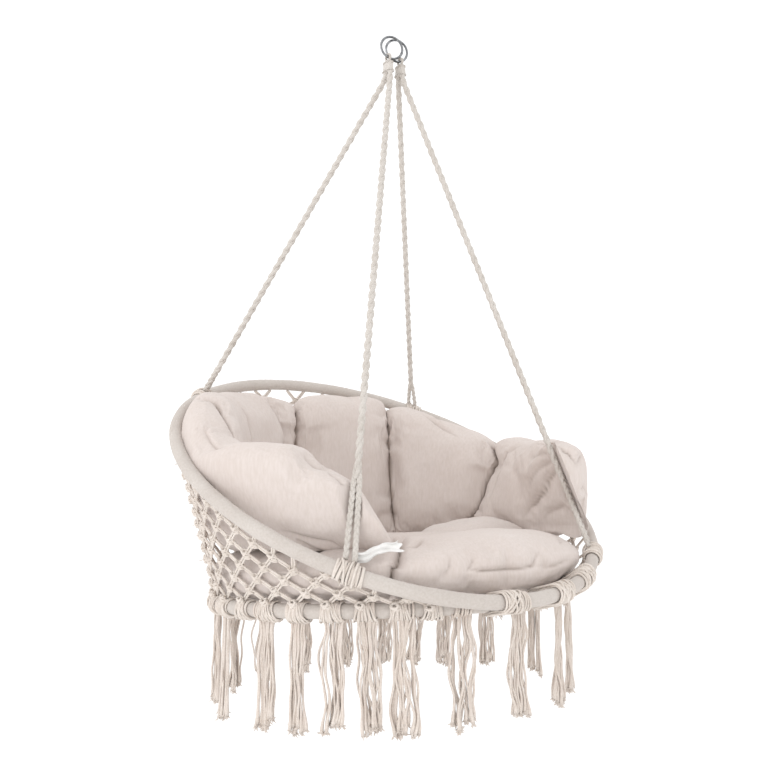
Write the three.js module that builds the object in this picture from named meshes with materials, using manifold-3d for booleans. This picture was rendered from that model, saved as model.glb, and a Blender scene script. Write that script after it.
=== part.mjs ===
// Hanging hammock chair: two steel hoops in cotton sleeves, joined by a knotted net and hung by four
// ropes from a pair of steel rings, with a fringe of tassels, a seat pad and a horseshoe back cushion.
// Millimetres. +Z is up, -Y is the open front. The origin is the hook point inside the tops of the rings.

import * as THREE from "three";
import { mergeVertices } from "three/addons/utils/BufferGeometryUtils.js";
import Module from "manifold-3d";

const wasm = await Module();
wasm.setup();

// Clearances
const TOUCH_GAP = 0.35;
const CUT_OVERRUN = 5;
const MERGE_TOLERANCE = 1e-4;

// Hanging rings
const RING_OUTER_RADIUS = 25;
const RING_WIRE_RADIUS = 2.5;
const RING_PLANE_SPACING = 8;
const RING_LEAN_DEG = 20;

// Rope bights on the rings and the whipped necks under them
const BIGHT_HOLE_RADIUS = 5.7;
const BIGHT_WALL = 3;
const BIGHT_HALF_WIDTH = 3;
const NECK_WIDTH = 14;
const NECK_DEPTH = 25;
const NECK_LENGTH = 26;
const NECK_TOP_DROP = 6;
const NECK_CORNER_RADIUS = 4;
const BIGHT_EDGE = 1.2;
const BIGHT_SAG = 0.3;

// Suspension ropes
const ROPE_RADIUS = 6;
const ROPE_TAIL_RADIUS = 4;
const ROPE_START_SPACING = 13;
const ROPE_STRAIGHT_START = 8;
const ROPE_SPLIT_HEIGHT_FRONT = 150;
const ROPE_SPLIT_HEIGHT_BACK = 60;
const ROPE_TAIL_SPREAD_FRONT = 24;
const ROPE_TAIL_SPREAD_BACK = 20;
const ROPE_FOOT_GAP_FRONT = 1.7;
const ROPE_FOOT_GAP_BACK = 1.7;
const ROPE_ANGLE_BACK_DEG = 41.5;
const ROPE_ANGLE_FRONT_DEG = 138;

// Upper hoop, which tilts back, and lower hoop, which carries the seat
const UPPER_RADIUS = 400;
const UPPER_TILT_DEG = 29.6;
const UPPER_CENTRE_Y = 18.3;
const UPPER_CENTRE_Z = -854.1;
const LOWER_RADIUS = 315;
const LOWER_TILT_DEG = -3.2;
const HOOP_FRONT_SPACING = 30;
const HOOP_FRONT_DROP = 5;
const HOOP_TUBE_RADIUS = 9.5;
const HOOP_TUBE_WALL = 1.5;
const HOOP_BUTT_GAP = 1;
const JOINER_LENGTH = 50;
const SLEEVE_WALL = 1.2;
const SLEEVE_SLIT_DEG = 8;
const HOOP_FACETS = 36;
const HOOP_JOINT_ANGLE_DEG = 5;

// Cord windings that bind the ropes and the two hoops
const BINDING_CORD_RADIUS = 3;
const BINDING_PITCH = 6.8;
const ROPE_LASHING_TURNS = 4;
const FRONT_BINDING_TURNS = 3;
const BINDING_STEPS = 10;
const BINDING_SIDES = 4;
const FRONT_BINDING_STEPS = 14;
const BINDING_CORNER_GAIN = 3;
const BINDING_CORNER_SHARE = 0.94;
const FACING_STEPS = 20;
const FRONT_BINDING_ANGLES_DEG = [-176, 167, 154];

// Knotted net
const NET_COLUMNS = 28;
const NET_ROW_HEIGHT = 29;
const NET_CORD_WIDTH = 6;
const NET_CORD_THICKNESS = 4.5;
const NET_FOOT_SHARE = 0.62;
const NET_TOP_SHARE = 0.85;
const SEAT_NET_END_SHARE = 0.28;
const NET_LEAST_V_HEIGHT = 8;
const SEAT_NET_PITCH = 80;
const SEAT_NET_EDGE = 24;
const MITRE_LIMIT = 0.05;

// Fringe
const TASSEL_LENGTH = 172;
const TASSEL_HEAD_RADIUS = 9;
const TASSEL_HEAD_LENGTH = 16;
const TASSEL_WAIST_RADIUS = 6.5;
const TASSEL_SKIRT_RADIUS = 12;
const TASSEL_FLARE_RADIUS = 15;
const TASSEL_STRANDS = 6;
const TASSEL_GROOVE_SHARE = 0.62;
const TASSEL_FRONT_SHIFT = 8;
const TASSEL_TOP_GAP = 0.6;
const TASSEL_FRONT_FROM_DEG = 130;
const TASSEL_ANGLES_DEG = [
  -82, -105, -116, -127.5, -136.5, -146.5, -162.5, 179, 155.5, 138,
  104, 77, 59, 48, 35, 19, 1, -17, -37, -60,
];

// Seat pad
const PAD_SIDE_OVERHANG = 7;
const PAD_FRONT_INSET = 4;
const PAD_CENTRE_SHIFT_Y = -5;
const PAD_BASE_INSET = 28;
const PAD_RIM_HEIGHT = 84;
const PAD_CROWN = 18;
const PAD_RISE_UNDER_BACK = 6.4;
const PAD_CHANNEL_Y = 150;
const PAD_CHANNEL_WIDTH = 26;
const PAD_CHANNEL_DEPTH = 16;
const PAD_ROLL_X = 70;
const PAD_ROLL_HALF_LENGTH = 200;
const PAD_ROLL_Y = 235;
const PAD_ROLL_WIDTH = 62;
const PAD_ROLL_HEIGHT = 10;
const PAD_HUMP_X = 140;
const PAD_HUMP_Y = -55;
const PAD_HUMP_HALF_WIDTH = 102;
const PAD_HUMP_HALF_DEPTH = 92;
const PAD_HUMP_HEIGHT = 38;
const PAD_SHOULDER_SHARE = 0.12;
const PAD_NET_CLEARANCE = 12;
const PAD_STEPS = 32;

// Back cushion
const BACK_THICKNESS = 96;
const LEFT_END_ANGLE_DEG = 144;
const RIGHT_END_ANGLE_DEG = 145;
const END_TAPER_DEG = 16;
const END_THICKNESS_SHARE = 0.5;
const RIGHT_END_RISE = 58;
const RIGHT_END_RISE_FROM_DEG = 130;
const BACK_BASE_INSET = 1;
const ARM_BASE_OVERHANG = 29;
const BACK_NET_CLEARANCE = 15;
const BACK_LEAN_DEG = 5;
const ARM_LEAN_DEG = 16;
const ARM_SHIFT = 26;
const ARM_SHIFT_FROM_DEG = 95;
const BACK_SEAM_DEPTH_SHARE = 0.42;
const BACK_SEAM_WIDTH_DEG = 7;
const BACK_SEAM_ANGLES_DEG = [-86, -24, -7, 37, 79];
// Pairs of a bearing in degrees and the drop of the cushion's top under the back of the upper hoop
const BACK_TOP_DROPS = [
  [-144, 290], [-132, 212], [-126, 197], [-122, 187], [-116, 157], [-93, 150], [-80, 72], [-65, 52],
  [-45, 40], [-33, 32], [-20, 52], [-12, 46], [5, 31], [25, 29], [35, 35], [45, 51], [55, 71], [65, 93],
  [75, 112], [95, 124], [115, 134], [130, 142], [145, 162],
];
const BACK_STEPS = 40;
const BACK_SECTION_POINTS = 14;
const BACK_SECTION_POWER = 0.6;
const ROPE_GROOVE_CLEARANCE = 0.8;
const ROPE_WEDGE_FROM_SHARE = 0.6;
const ROPE_WEDGE_DEPTH = 120;
const ROPE_WEDGE_FLARE = 22;
const ROPE_WEDGE_END_REACH = 70;

// Cushion tie
const TIE_WIDTH = 14;
const TIE_THICKNESS = 2;
const TIE_LENGTH = 58;
const TIE_INWARDS = 10;
const TIE_RISE = 20;
const TIE_ROPE_GAP = 3;
const TIE_UP_THE_ROPE_SHARE = 0.026;

const rad = THREE.MathUtils.degToRad;
const vec = (x, y, z) => new THREE.Vector3(x, y, z);
const UP = vec(0, 0, 1);
const SIDES = [["left", -1], ["right", 1]];
const STATION_SLACK = 1e-9;

const RING_INNER_RADIUS = RING_OUTER_RADIUS - 2 * RING_WIRE_RADIUS;
const RING_CENTRE_RADIUS = RING_OUTER_RADIUS - RING_WIRE_RADIUS;
const LASHING_THICKNESS = 2 * BINDING_CORD_RADIUS + TOUCH_GAP;
const SECTION_SIDES = 8;
// The flats of the sleeve's bore clear the corners of the tube.
const SLEEVE_BORE_RADIUS = (HOOP_TUBE_RADIUS + TOUCH_GAP) / Math.cos(Math.PI / SECTION_SIDES);
const SLEEVE_RADIUS = SLEEVE_BORE_RADIUS + SLEEVE_WALL;

// Materials
const materials = {
  steel: new THREE.MeshStandardMaterial({ color: 0xc9ccd0, roughness: 0.18, metalness: 1 }),
  tube: new THREE.MeshStandardMaterial({ color: 0x9a9b9c, roughness: 0.45, metalness: 0.9 }),
  rope: new THREE.MeshStandardMaterial({ color: 0xddd3c6, roughness: 0.95, metalness: 0 }),
  sleeve: new THREE.MeshStandardMaterial({ color: 0xe2dad0, roughness: 0.95, metalness: 0 }),
  cushion: new THREE.MeshStandardMaterial({ color: 0xe6ddd4, roughness: 0.9, metalness: 0 }),
  tape: new THREE.MeshStandardMaterial({ color: 0xf4f2ee, roughness: 0.9, metalness: 0 }),
};

const chair = new THREE.Group();

function addMesh(name, geometry, material) {
  const mesh = new THREE.Mesh(geometry, material);
  mesh.name = name;
  chair.add(mesh);
  return mesh;
}

// A geometry from a list of points and a list of faces, each a fan round its first corner.
function facesToGeometry(points, faces) {
  const index = [];
  for (const face of faces) {
    for (let i = 1; i + 1 < face.length; i++) {
      index.push(face[0], face[i], face[i + 1]);
    }
  }
  const geometry = new THREE.BufferGeometry().setFromPoints(points);
  geometry.setIndex(index);
  geometry.computeVertexNormals();
  return geometry;
}

function toSolid(geometry) {
  const bare = geometry.clone();
  bare.deleteAttribute("normal");
  bare.deleteAttribute("uv");
  const merged = mergeVertices(bare, MERGE_TOLERANCE);
  return new wasm.Manifold(
    new wasm.Mesh({
      numProp: 3,
      vertProperties: new Float32Array(merged.attributes.position.array),
      triVerts: new Uint32Array(merged.index.array),
    }),
  );
}

function toGeometry(solid) {
  const mesh = solid.getMesh();
  const positions = new Float32Array(mesh.numVert * 3);
  for (let i = 0; i < mesh.numVert; i++) {
    positions.set(mesh.vertProperties.subarray(i * mesh.numProp, i * mesh.numProp + 3), i * 3);
  }
  const geometry = new THREE.BufferGeometry();
  geometry.setAttribute("position", new THREE.BufferAttribute(positions, 3));
  geometry.setIndex(new THREE.BufferAttribute(new Uint32Array(mesh.triVerts), 1));
  geometry.computeVertexNormals();
  return geometry;
}

function joinGeometries(geometries) {
  return toGeometry(geometries.map(toSolid).reduce((all, next) => all.add(next)));
}

// Joins rings of equal point counts into one closed skin. Rings that don't close on each other get caps.
function skin(rings, closed) {
  const count = rings[0].length;
  const points = rings.flat();
  const faces = [];
  const last = closed ? rings.length : rings.length - 1;
  for (let r = 0; r < last; r++) {
    const here = r * count;
    const next = ((r + 1) % rings.length) * count;
    for (let i = 0; i < count; i++) {
      const j = (i + 1) % count;
      faces.push([here + i, here + j, next + j], [here + i, next + j, next + i]);
    }
  }
  if (!closed) {
    faces.push(Array.from({ length: count }, (_, i) => count - 1 - i));
    faces.push(Array.from({ length: count }, (_, i) => last * count + i));
  }
  return facesToGeometry(points, faces);
}

// A round cord through the given points, with a ring of points square to the way at each.
function cordThrough(points, radius, sides, startNormal) {
  const side = startNormal.clone();
  const rings = points.map((point, i) => {
    const from = points[Math.max(i - 1, 0)];
    const to = points[Math.min(i + 1, points.length - 1)];
    const tangent = to.clone().sub(from).normalize();
    side.addScaledVector(tangent, -side.dot(tangent)).normalize();
    const other = tangent.clone().cross(side);
    return Array.from({ length: sides }, (_, k) => {
      const turn = (2 * Math.PI * k) / sides;
      const across = point.clone().addScaledVector(side, radius * Math.cos(turn));
      return across.addScaledVector(other, radius * Math.sin(turn));
    });
  });
  return skin(rings, false);
}

// The least gap between turns of a winding that lie half a turn or more apart, printed for the record.
function printLeastGap(name, points, cordRadius, stepsPerTurn) {
  let least = Infinity;
  for (let i = 0; i < points.length; i++) {
    for (let j = i + stepsPerTurn / 2; j < points.length; j++) {
      least = Math.min(least, points[i].distanceTo(points[j]) - 2 * cordRadius);
    }
  }
  console.log(name + " least gap to itself " + least.toFixed(2) + " mm");
}

// A hoop is a ring of straight facets in its own plane, tilted about X. Angles run from the back, +Y,
// towards the right, +X. place() gives a point beside the hoop's centre line.
function makeHoop(radius, tiltDeg, centreY, centreZ) {
  const tilt = rad(tiltDeg);
  const planeNormal = vec(0, -Math.sin(tilt), Math.cos(tilt));
  const step = (2 * Math.PI) / HOOP_FACETS;
  const radial = (angle) =>
    vec(Math.sin(angle), Math.cos(angle) * Math.cos(tilt), Math.cos(angle) * Math.sin(tilt));
  const tangent = (angle) => planeNormal.clone().cross(radial(angle)).negate();
  const place = (angle, out, lift) => {
    const from = Math.floor(angle / step + STATION_SLACK) * step;
    const share = (angle - from) / step;
    const point = radial(from).multiplyScalar(1 - share).addScaledVector(radial(from + step), share);
    point.multiplyScalar(radius);
    point.addScaledVector(radial(angle), out).addScaledVector(planeNormal, lift);
    return point.add(vec(0, centreY, centreZ));
  };
  return { radius, planeNormal, radial, tangent, place, step, centreY, centreZ, tilt };
}

const upperTilt = rad(UPPER_TILT_DEG);
const lowerTilt = rad(LOWER_TILT_DEG);
const upperFrontY = UPPER_CENTRE_Y - UPPER_RADIUS * Math.cos(upperTilt);
const upperFrontZ = UPPER_CENTRE_Z - UPPER_RADIUS * Math.sin(upperTilt);
const lowerCentreY = upperFrontY + HOOP_FRONT_SPACING + LOWER_RADIUS * Math.cos(lowerTilt);
const lowerCentreZ = upperFrontZ - HOOP_FRONT_DROP + LOWER_RADIUS * Math.sin(lowerTilt);
const upperHoop = makeHoop(UPPER_RADIUS, UPPER_TILT_DEG, UPPER_CENTRE_Y, UPPER_CENTRE_Z);
const lowerHoop = makeHoop(LOWER_RADIUS, LOWER_TILT_DEG, lowerCentreY, lowerCentreZ);

function sectionPoint(radius, k) {
  const turn = (2 * Math.PI * (k + 0.5)) / SECTION_SIDES;
  return [radius * Math.cos(turn), radius * Math.sin(turn)];
}

// Steel tube bent to a hoop, its two butt ends a small gap apart.
function hoopTube(hoop) {
  const joint = rad(HOOP_JOINT_ANGLE_DEG);
  const halfGap = HOOP_BUTT_GAP / 2 / hoop.radius;
  const stations = [joint + halfGap];
  for (let i = 1; i <= HOOP_FACETS; i++) {
    stations.push(i * hoop.step);
  }
  stations.push(joint + 2 * Math.PI - halfGap);
  const points = [];
  for (const angle of stations) {
    for (const radius of [HOOP_TUBE_RADIUS, HOOP_TUBE_RADIUS - HOOP_TUBE_WALL]) {
      for (let k = 0; k < SECTION_SIDES; k++) {
        points.push(hoop.place(angle, ...sectionPoint(radius, k)));
      }
    }
  }
  const faces = [];
  const stride = 2 * SECTION_SIDES;
  const end = (stations.length - 1) * stride;
  for (let k = 0; k < SECTION_SIDES; k++) {
    const j = (k + 1) % SECTION_SIDES;
    const inK = SECTION_SIDES + k;
    const inJ = SECTION_SIDES + j;
    for (let a = 0; a < end; a += stride) {
      const b = a + stride;
      faces.push([a + k, a + j, b + j, b + k]);
      faces.push([a + inK, b + inK, b + inJ, a + inJ]);
    }
    faces.push([k, inK, inJ, j]);
    faces.push([end + k, end + j, end + inJ, end + inK]);
  }
  return facesToGeometry(points, faces);
}

// Spigot that lies in both ends of the tube and joins them.
function hoopJoiner(hoop) {
  const joint = rad(HOOP_JOINT_ANGLE_DEG);
  const radius = HOOP_TUBE_RADIUS - HOOP_TUBE_WALL - TOUCH_GAP;
  const reach = JOINER_LENGTH / 2 / hoop.radius;
  const rings = [joint - reach, joint + reach].map((angle) =>
    Array.from({ length: SECTION_SIDES }, (_, k) => hoop.place(angle, ...sectionPoint(radius, k))),
  );
  return skin(rings, false);
}

// Cotton sleeve sewn round the tube, open along a narrow seam slit on the inside of the hoop.
function hoopSleeve(hoop) {
  const slit = rad(SLEEVE_SLIT_DEG) / 2;
  const turns = [-Math.PI + slit];
  for (let k = 1; k < SECTION_SIDES; k++) {
    turns.push(-Math.PI + (2 * Math.PI * k) / SECTION_SIDES);
  }
  turns.push(Math.PI - slit);
  const arc = (radius) => turns.map((turn) => [radius * Math.cos(turn), radius * Math.sin(turn)]);
  const section = [...arc(SLEEVE_RADIUS), ...arc(SLEEVE_BORE_RADIUS).reverse()];
  const rings = Array.from({ length: HOOP_FACETS }, (_, i) =>
    section.map(([out, lift]) => hoop.place(i * hoop.step, out, lift)),
  );
  return skin(rings, true);
}

function addHoop(label, hoop) {
  addMesh(label + "_hoop_tube", hoopTube(hoop), materials.tube);
  addMesh(label + "_hoop_joiner", hoopJoiner(hoop), materials.tube);
  addMesh(label + "_hoop_sleeve", hoopSleeve(hoop), materials.sleeve);
}

// The two rings lie side by side in parallel planes, each leaning towards its own pair of ropes. The
// planes are turned about Z so that both rope bights hang on one line along X.
const ringReach = RING_INNER_RADIUS + RING_CENTRE_RADIUS;
const bightX = Math.hypot(ringReach * Math.sin(rad(RING_LEAN_DEG)), RING_PLANE_SPACING / 2);
const bightZ = -ringReach * Math.cos(rad(RING_LEAN_DEG)) - BIGHT_SAG;

function addRings() {
  const lean = rad(RING_LEAN_DEG);
  const rings = new THREE.Group();
  rings.rotation.z = -Math.atan2(RING_PLANE_SPACING / 2, ringReach * Math.sin(lean));
  for (const [label, side] of SIDES) {
    const geometry = new THREE.TorusGeometry(RING_CENTRE_RADIUS, RING_WIRE_RADIUS, 6, 24);
    const ring = new THREE.Mesh(geometry, materials.steel);
    ring.name = "hanging_ring_" + label;
    ring.rotation.x = Math.PI / 2;
    ring.position.x = side * RING_INNER_RADIUS * Math.sin(lean);
    ring.position.y = (side * RING_PLANE_SPACING) / 2;
    ring.position.z = -RING_INNER_RADIUS * Math.cos(lean);
    rings.add(ring);
  }
  chair.add(rings);
}

// The bight is the eye of rope that hangs on a ring and slides and turns on its wire.
function addBight(label, side) {
  const outer = BIGHT_HOLE_RADIUS + BIGHT_WALL;
  const profile = [
    [BIGHT_HOLE_RADIUS, -BIGHT_HALF_WIDTH],
    [outer - BIGHT_EDGE, -BIGHT_HALF_WIDTH],
    [outer, BIGHT_EDGE - BIGHT_HALF_WIDTH],
    [outer, BIGHT_HALF_WIDTH - BIGHT_EDGE],
    [outer - BIGHT_EDGE, BIGHT_HALF_WIDTH],
    [BIGHT_HOLE_RADIUS, BIGHT_HALF_WIDTH],
    [BIGHT_HOLE_RADIUS, -BIGHT_HALF_WIDTH],
  ];
  const outline = profile.map(([radius, along]) => new THREE.Vector2(radius, along));
  const bight = addMesh("rope_bight_" + label, new THREE.LatheGeometry(outline, 20), materials.rope);
  bight.rotation.z = -Math.PI / 2;
  bight.position.set(side * bightX, 0, bightZ);
}

const neckTop = bightZ - NECK_TOP_DROP;
const neckBottom = neckTop - NECK_LENGTH;

// The neck is the whipped block under a bight, hollowed on top to turn round it.
function addNeck(label, side) {
  const halfX = NECK_WIDTH / 2 - NECK_CORNER_RADIUS;
  const halfY = NECK_DEPTH / 2 - NECK_CORNER_RADIUS;
  const shape = new THREE.Shape();
  shape.absarc(halfX, halfY, NECK_CORNER_RADIUS, 0, Math.PI / 2);
  shape.absarc(-halfX, halfY, NECK_CORNER_RADIUS, Math.PI / 2, Math.PI);
  shape.absarc(-halfX, -halfY, NECK_CORNER_RADIUS, Math.PI, 1.5 * Math.PI);
  shape.absarc(halfX, -halfY, NECK_CORNER_RADIUS, 1.5 * Math.PI, 2 * Math.PI);
  const block = new THREE.ExtrudeGeometry(shape, {
    depth: NECK_LENGTH,
    bevelEnabled: false,
    curveSegments: 2,
  });
  block.translate(side * bightX, 0, neckBottom);
  const saddleRadius = BIGHT_HOLE_RADIUS + BIGHT_WALL + TOUCH_GAP;
  const saddle = new THREE.CylinderGeometry(saddleRadius, saddleRadius, NECK_WIDTH + CUT_OVERRUN, 20);
  saddle.rotateZ(Math.PI / 2);
  saddle.translate(side * bightX, 0, bightZ);
  addMesh("rope_neck_" + label, toGeometry(toSolid(block).subtract(toSolid(saddle))), materials.rope);
}

// Each rope leaves its neck straight down, runs taut to the upper hoop and splits into two tails there.
const lashingOuter = SLEEVE_RADIUS + 2 * TOUCH_GAP + 2 * BINDING_CORD_RADIUS;

function ropeRun(side, fore) {
  const angle = side * rad(fore ? ROPE_ANGLE_FRONT_DEG : ROPE_ANGLE_BACK_DEG);
  const startY = ((fore ? -1 : 1) * ROPE_START_SPACING) / 2;
  const top = vec(side * bightX, startY, neckBottom - TOUCH_GAP);
  const bend = top.clone().add(vec(0, 0, -ROPE_STRAIGHT_START));
  const foot = upperHoop.place(angle, 0, 0);
  const way = foot.clone().sub(bend).normalize();
  return { angle, top, bend, foot, way };
}

function addRope(label, side, end) {
  const fore = end === "front";
  const { angle, top, bend, foot, way } = ropeRun(side, fore);
  const splitHeight = fore ? ROPE_SPLIT_HEIGHT_FRONT : ROPE_SPLIT_HEIGHT_BACK;
  const footGap = fore ? ROPE_FOOT_GAP_FRONT : ROPE_FOOT_GAP_BACK;
  const spread = fore ? ROPE_TAIL_SPREAD_FRONT : ROPE_TAIL_SPREAD_BACK;
  const along = upperHoop.tangent(angle);
  const split = foot.clone().addScaledVector(way, -splitHeight);
  const pieces = [cordThrough([top, bend, split], ROPE_RADIUS, 8, along)];
  for (const hand of [-1, 1]) {
    const root = split.clone().addScaledVector(way, -2 * ROPE_RADIUS);
    root.addScaledVector(along, (hand * ROPE_TAIL_RADIUS) / 2);
    const shoulder = split.clone().addScaledVector(along, hand * ROPE_TAIL_RADIUS);
    const tip = foot.clone().addScaledVector(way, -lashingOuter - footGap);
    tip.addScaledVector(along, (hand * spread) / 2);
    pieces.push(cordThrough([root, shoulder, tip], ROPE_TAIL_RADIUS, 6, along));
  }
  addMesh("rope_" + end + "_" + label, joinGeometries(pieces), materials.rope);
}

// Cord wound round the upper hoop over the tails of a rope.
function addRopeLashing(label, side, end) {
  const { angle } = ropeRun(side, end === "front");
  const clear = SLEEVE_RADIUS + TOUCH_GAP + BINDING_CORD_RADIUS;
  const radius = clear / Math.cos(Math.PI / BINDING_STEPS);
  const points = [];
  for (let i = 0; i <= ROPE_LASHING_TURNS * BINDING_STEPS; i++) {
    const turns = i / BINDING_STEPS;
    const at = angle + ((turns - ROPE_LASHING_TURNS / 2) * BINDING_PITCH) / UPPER_RADIUS;
    const round = 2 * Math.PI * turns;
    points.push(upperHoop.place(at, radius * Math.cos(round), radius * Math.sin(round)));
  }
  const name = "rope_lashing_" + end + "_" + label;
  printLeastGap(name, points, BINDING_CORD_RADIUS, BINDING_STEPS);
  addMesh(name, cordThrough(points, BINDING_CORD_RADIUS, BINDING_SIDES, UP), materials.rope);
}

// Cord wound round both hoops at once, where they meet at the front.
function addFrontBinding(number, angleDeg) {
  const angle = rad(angleDeg);
  let facing = angle;
  const way = () => upperHoop.tangent(angle).add(lowerHoop.tangent(facing)).normalize();
  for (let i = 0; i < FACING_STEPS; i++) {
    const apart = upperHoop.place(angle, 0, 0).sub(lowerHoop.place(facing, 0, 0));
    facing += apart.dot(way()) / LOWER_RADIUS;
  }
  const clear = SLEEVE_RADIUS + TOUCH_GAP + BINDING_CORD_RADIUS;
  const radius = clear / Math.cos(Math.PI / FRONT_BINDING_STEPS) / BINDING_CORNER_SHARE;
  const points = [];
  for (let i = 0; i <= FRONT_BINDING_TURNS * FRONT_BINDING_STEPS; i++) {
    const turns = i / FRONT_BINDING_STEPS;
    const along = (turns - FRONT_BINDING_TURNS / 2) * BINDING_PITCH;
    const a = upperHoop.place(angle + along / UPPER_RADIUS, 0, 0);
    const b = lowerHoop.place(facing + along / LOWER_RADIUS, 0, 0);
    const apart = a.clone().sub(b);
    const across = apart.clone().normalize();
    const over = way().cross(across).normalize();
    const round = 2 * Math.PI * turns;
    const slide = Math.max(-1, Math.min(1, BINDING_CORNER_GAIN * Math.cos(round)));
    const point = b.clone().addScaledVector(apart, (1 + slide) / 2);
    point.addScaledVector(across, radius * Math.cos(round));
    points.push(point.addScaledVector(over, radius * Math.sin(round)));
  }
  const name = "front_binding_" + number;
  printLeastGap(name, points, BINDING_CORD_RADIUS, FRONT_BINDING_STEPS);
  addMesh(name, cordThrough(points, BINDING_CORD_RADIUS, BINDING_SIDES, UP), materials.rope);
}

// One connected flat-cord net from knots and the cords between them. Each cord is a bar whose corners
// are mitred with its neighbours at every knot, so the skin closes without a join.
function netGeometry(knots, cords) {
  const half = NET_CORD_WIDTH / 2;
  const depth = NET_CORD_THICKNESS / 2;
  const leaving = knots.map(() => []);
  for (const [a, b] of cords) {
    leaving[a].push({ to: b });
    leaving[b].push({ to: a });
  }
  const points = [];
  const faces = [];
  const corner = (knot, offset) => {
    const at = knot.place.clone().add(offset);
    points.push(at.clone().addScaledVector(knot.normal, depth));
    points.push(at.clone().addScaledVector(knot.normal, -depth));
    return points.length - 2;
  };
  knots.forEach((knot, i) => {
    const { place, normal } = knot;
    const base = vec(1, 0, 0).addScaledVector(normal, -normal.x).normalize();
    const side = normal.clone().cross(base);
    for (const cord of leaving[i]) {
      const way = knots[cord.to].place.clone().sub(place);
      way.addScaledVector(normal, -way.dot(normal)).normalize();
      cord.way = way;
      cord.left = normal.clone().cross(way);
      cord.angle = Math.atan2(way.dot(side), way.dot(base));
    }
    leaving[i].sort((p, q) => p.angle - q.angle);
    const count = leaving[i].length;
    if (count === 1) {
      const [cord] = leaving[i];
      cord.leftCorner = corner(knot, cord.left.clone().multiplyScalar(half));
      cord.rightCorner = corner(knot, cord.left.clone().multiplyScalar(-half));
      const [l, r] = [cord.leftCorner, cord.rightCorner];
      faces.push([r, l, l + 1, r + 1]);
      return;
    }
    leaving[i].forEach((cord, k) => {
      const next = leaving[i][(k + 1) % count];
      const mitre = cord.left.clone().sub(next.left);
      const reach = half / Math.max(1 - cord.way.dot(next.way), MITRE_LIMIT);
      const at = corner(knot, mitre.multiplyScalar(reach));
      cord.leftCorner = at;
      next.rightCorner = at;
    });
    if (count > 2) {
      const round = leaving[i].map((cord) => cord.leftCorner);
      faces.push(round);
      faces.push(round.map((at) => at + 1).reverse());
    }
  });
  for (const [a, b] of cords) {
    const here = leaving[a].find((cord) => cord.to === b);
    const there = leaving[b].find((cord) => cord.to === a);
    const [l, r] = [here.leftCorner, here.rightCorner];
    const [farL, farR] = [there.rightCorner, there.leftCorner];
    faces.push([r, farR, farL, l]);
    faces.push([l + 1, farL + 1, farR + 1, r + 1]);
    faces.push([l, farL, farL + 1, l + 1]);
    faces.push([r + 1, farR + 1, farR, r]);
  }
  return facesToGeometry(points, faces);
}

const netFoot = SLEEVE_RADIUS + TOUCH_GAP + NET_FOOT_SHARE * NET_CORD_WIDTH;
const netTop = SLEEVE_RADIUS + TOUCH_GAP + NET_TOP_SHARE * NET_CORD_WIDTH;
const seatNetEnd = SLEEVE_RADIUS + TOUCH_GAP + SEAT_NET_END_SHARE * NET_CORD_WIDTH;

// True where a rope's lashing takes the place of the net's hold on the upper hoop.
function isLashed(angle) {
  const halfLength = (ROPE_LASHING_TURNS * BINDING_PITCH) / 2 + BINDING_CORD_RADIUS + NET_CORD_WIDTH;
  const turn = Math.abs(Math.atan2(Math.sin(angle), Math.cos(angle)));
  const nearest = [ROPE_ANGLE_FRONT_DEG, ROPE_ANGLE_BACK_DEG].map((deg) => Math.abs(turn - rad(deg)));
  return Math.min(...nearest) * UPPER_RADIUS < halfLength;
}

// Alternating rows of knots climb from the lower hoop until the upper hoop cuts them off. The last knots
// hang from it by a V of two cords.
function sideNet() {
  const pitch = (2 * Math.PI) / NET_COLUMNS;
  const knots = [];
  const cords = [];
  const byName = new Map();
  const span = (turn) => {
    const low = lowerHoop.place(turn * pitch, 0, 0);
    const high = upperHoop.place(turn * pitch, 0, 0);
    return { low, high, height: low.distanceTo(high) };
  };
  const addKnot = (turn, up) => {
    const { low, high, height } = span(turn);
    const place = low.clone().lerp(high, up / height);
    const across = lowerHoop.tangent(turn * pitch);
    const normal = across.clone().cross(high.clone().sub(low)).normalize();
    knots.push({ place, normal });
    return knots.length - 1;
  };
  const rowUp = (row) => netFoot + row * NET_ROW_HEIGHT;
  const isKnot = (row, turn) => rowUp(row) <= span(turn).height - netTop - NET_LEAST_V_HEIGHT;
  const knotAt = (row, turn) => {
    const wrapped = ((turn % NET_COLUMNS) + NET_COLUMNS) % NET_COLUMNS;
    const name = row + ":" + wrapped;
    if (!byName.has(name)) {
      byName.set(name, addKnot(wrapped, rowUp(row)));
    }
    return byName.get(name);
  };
  for (let row = 0; rowUp(row) < upperHoop.place(0, 0, 0).distanceTo(lowerHoop.place(0, 0, 0)); row++) {
    for (let column = 0; column < NET_COLUMNS; column++) {
      const turn = column + (row % 2) / 2;
      if (row > 0 && !isKnot(row, turn)) {
        continue;
      }
      for (const hand of [-0.5, 0.5]) {
        if (isKnot(row + 1, turn + hand)) {
          cords.push([knotAt(row, turn), knotAt(row + 1, turn + hand)]);
        } else if (row > 0) {
          const hung = turn + hand / 2;
          const clear = isLashed(hung * pitch) ? LASHING_THICKNESS : 0;
          cords.push([knotAt(row, turn), addKnot(hung, span(hung).height - netTop - clear)]);
        }
      }
    }
  }
  return netGeometry(knots, cords);
}

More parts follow.
